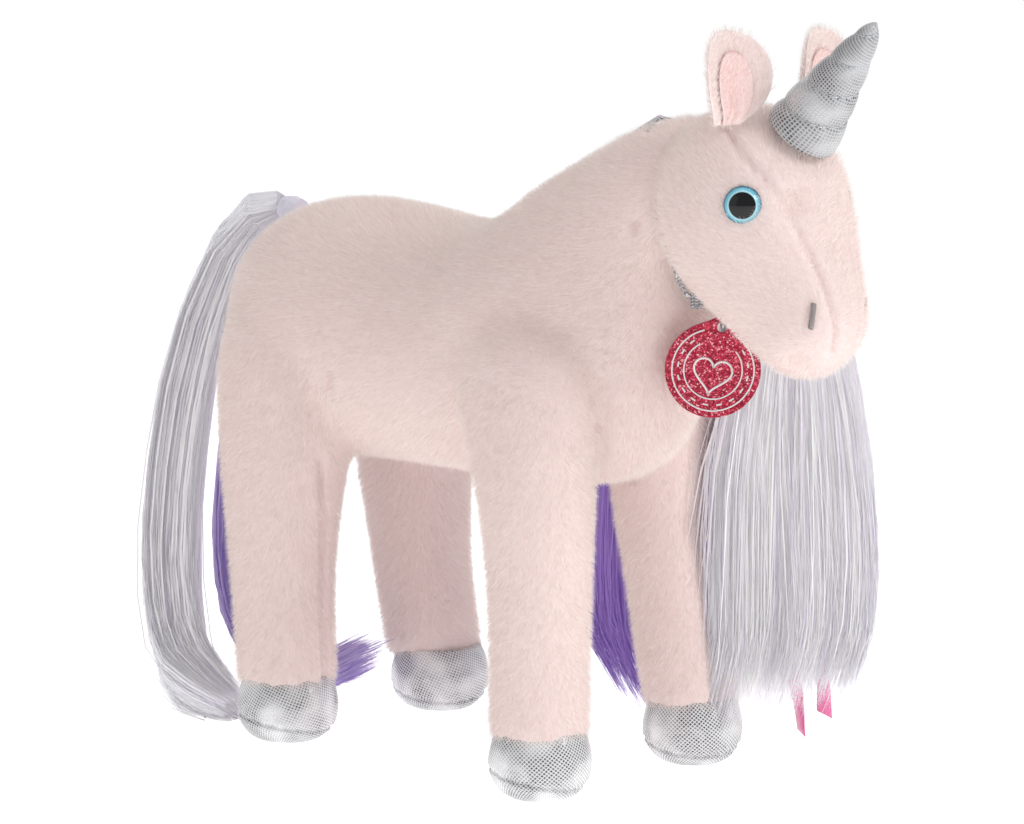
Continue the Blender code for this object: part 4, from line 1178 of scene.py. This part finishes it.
glitter, tree, shader = new_material("red_glitter_card", (0.5, 0.01, 0.05), 0.35, Specular_IOR_Level=0.6)
place = add(tree, "ShaderNodeTexCoord").outputs["Object"]
flakes = add(tree, "ShaderNodeTexVoronoi", {"Vector": place, "Scale": 2100}).outputs["Color"]
parts = add(tree, "ShaderNodeSeparateColor", {"Color": flakes}).outputs
reds = ramped(tree, parts["Red"], (0.16, 0.0, 0.015), (0.95, 0.55, 0.58), (
    (0.35, (0.35, 0.005, 0.03)), (0.7, (0.6, 0.02, 0.07)), (0.88, (0.75, 0.1, 0.16))))
feed(tree, shader.inputs["Base Color"], reds)
feed(tree, shader.inputs["Metallic"], ranged(tree, parts["Green"], 0.2, 0.75))
relief(tree, shader, parts["Blue"], 0.6, 0.0002)


def tag_point(x, z, d):
    return at(*(tag_middle + tilt @ (tag_across * x + tag_up * z) + tag_out * d))


tag_sides = 120
outline = []
for a in angles(tag_sides):
    x, z = 17.4 * math.sin(a), 17.4 * math.cos(a)
    outline.append((x, z + (2.6 * math.exp(-(x / 4.2) ** 2) if z > 0 else 0)))
ring_hole = [(1.9 * math.sin(a), 15.9 + 1.9 * math.cos(a)) for a in angles(tag_sides)]
for label, d in (("front", 0.75), ("back", -0.75)):
    loops = []
    for spots, layer in ((ring_hole, -0.42), (outline, -0.42), (outline, 0.42), (ring_hole, 0.42)):
        loops.append([tag_point(x, z, d + layer) for x, z in spots])
    verts = [v for ring in loops for v in ring]
    faces = []
    for k in range(4):
        a, b = k * tag_sides, (k + 1) % 4 * tag_sides
        faces += [(a + i, a + (i + 1) % tag_sides, b + (i + 1) % tag_sides, b + i) for i in range(tag_sides)]
    card = mesh_piece(f"tag_card_{label}", *outward(verts, faces), glitter, False)
    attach(card, "tag")
    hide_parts(f"tag_{label}")

print_silver = speckled("tag_print", (0.62, 0.6, 0.6), (0.95, 0.93, 0.93), 1600, 0.3, raised=False, Metallic=0.4)


def drawn(spots, wide):
    """A printed line: a low flat rib along points on the card."""
    rings = []
    for k, (x, z) in enumerate(spots):
        a, b = spots[max(k - 1, 0)], spots[min(k + 1, len(spots) - 1)]
        run = Vector((b[0] - a[0], b[1] - a[1])).normalized()
        rings.append([tag_point(x - run.y * wide * p, z + run.x * wide * p, 1.17 + q)
                      for p, q in ((-0.5, -0.05), (0.5, -0.05), (0.5, 0.12), (-0.5, 0.12))])
    return ring_skin(rings)


def arc(radius, start, stop, count):
    return [(radius * math.sin(math.radians(a)), radius * math.cos(math.radians(a))) for a in np.linspace(start, stop, count)]


heart_line = []
for k in range(61):
    a = 2 * math.pi * k / 60
    heart_line.append((0.44 * 16 * math.sin(a) ** 3, -1.5 + 0.44 * (13 * math.cos(a) - 5 * math.cos(2 * a)
                                                                    - 2 * math.cos(3 * a) - math.cos(4 * a))))
lines = [drawn(arc(14.9, 24, 336, 110), 0.55), drawn(arc(10.6, 38, 322, 90), 0.5), drawn(heart_line, 0.75)]
lines += [drawn(arc(12.8, a - 4.5, a + 4.5, 6), 0.6) for a in range(48, 320, 22)]
prints = joined("tag_print_lines", lines)
prints.data.materials.append(print_silver)
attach(prints, "tag")

# ---------------------------------------------------------------- hidden stuffing and washers
# Loose polyester fibre in the horn, and the moulded plastic washers that lock the eyes from inside.


hidden = (("horn_filling", speckled("horn_stuffing", (0.92, 0.92, 0.9), (0.75, 0.75, 0.73), 300, 0.95)),
          ("eye_washer_right", speckled("washer_plastic", (0.85, 0.84, 0.8), (0.78, 0.77, 0.74), 500, 0.45)),
          ("eye_washer_left", bpy.data.materials["washer_plastic"]))
for node, mat in hidden:
    dress(node, mat)
bpy.data.objects.remove(fibre)
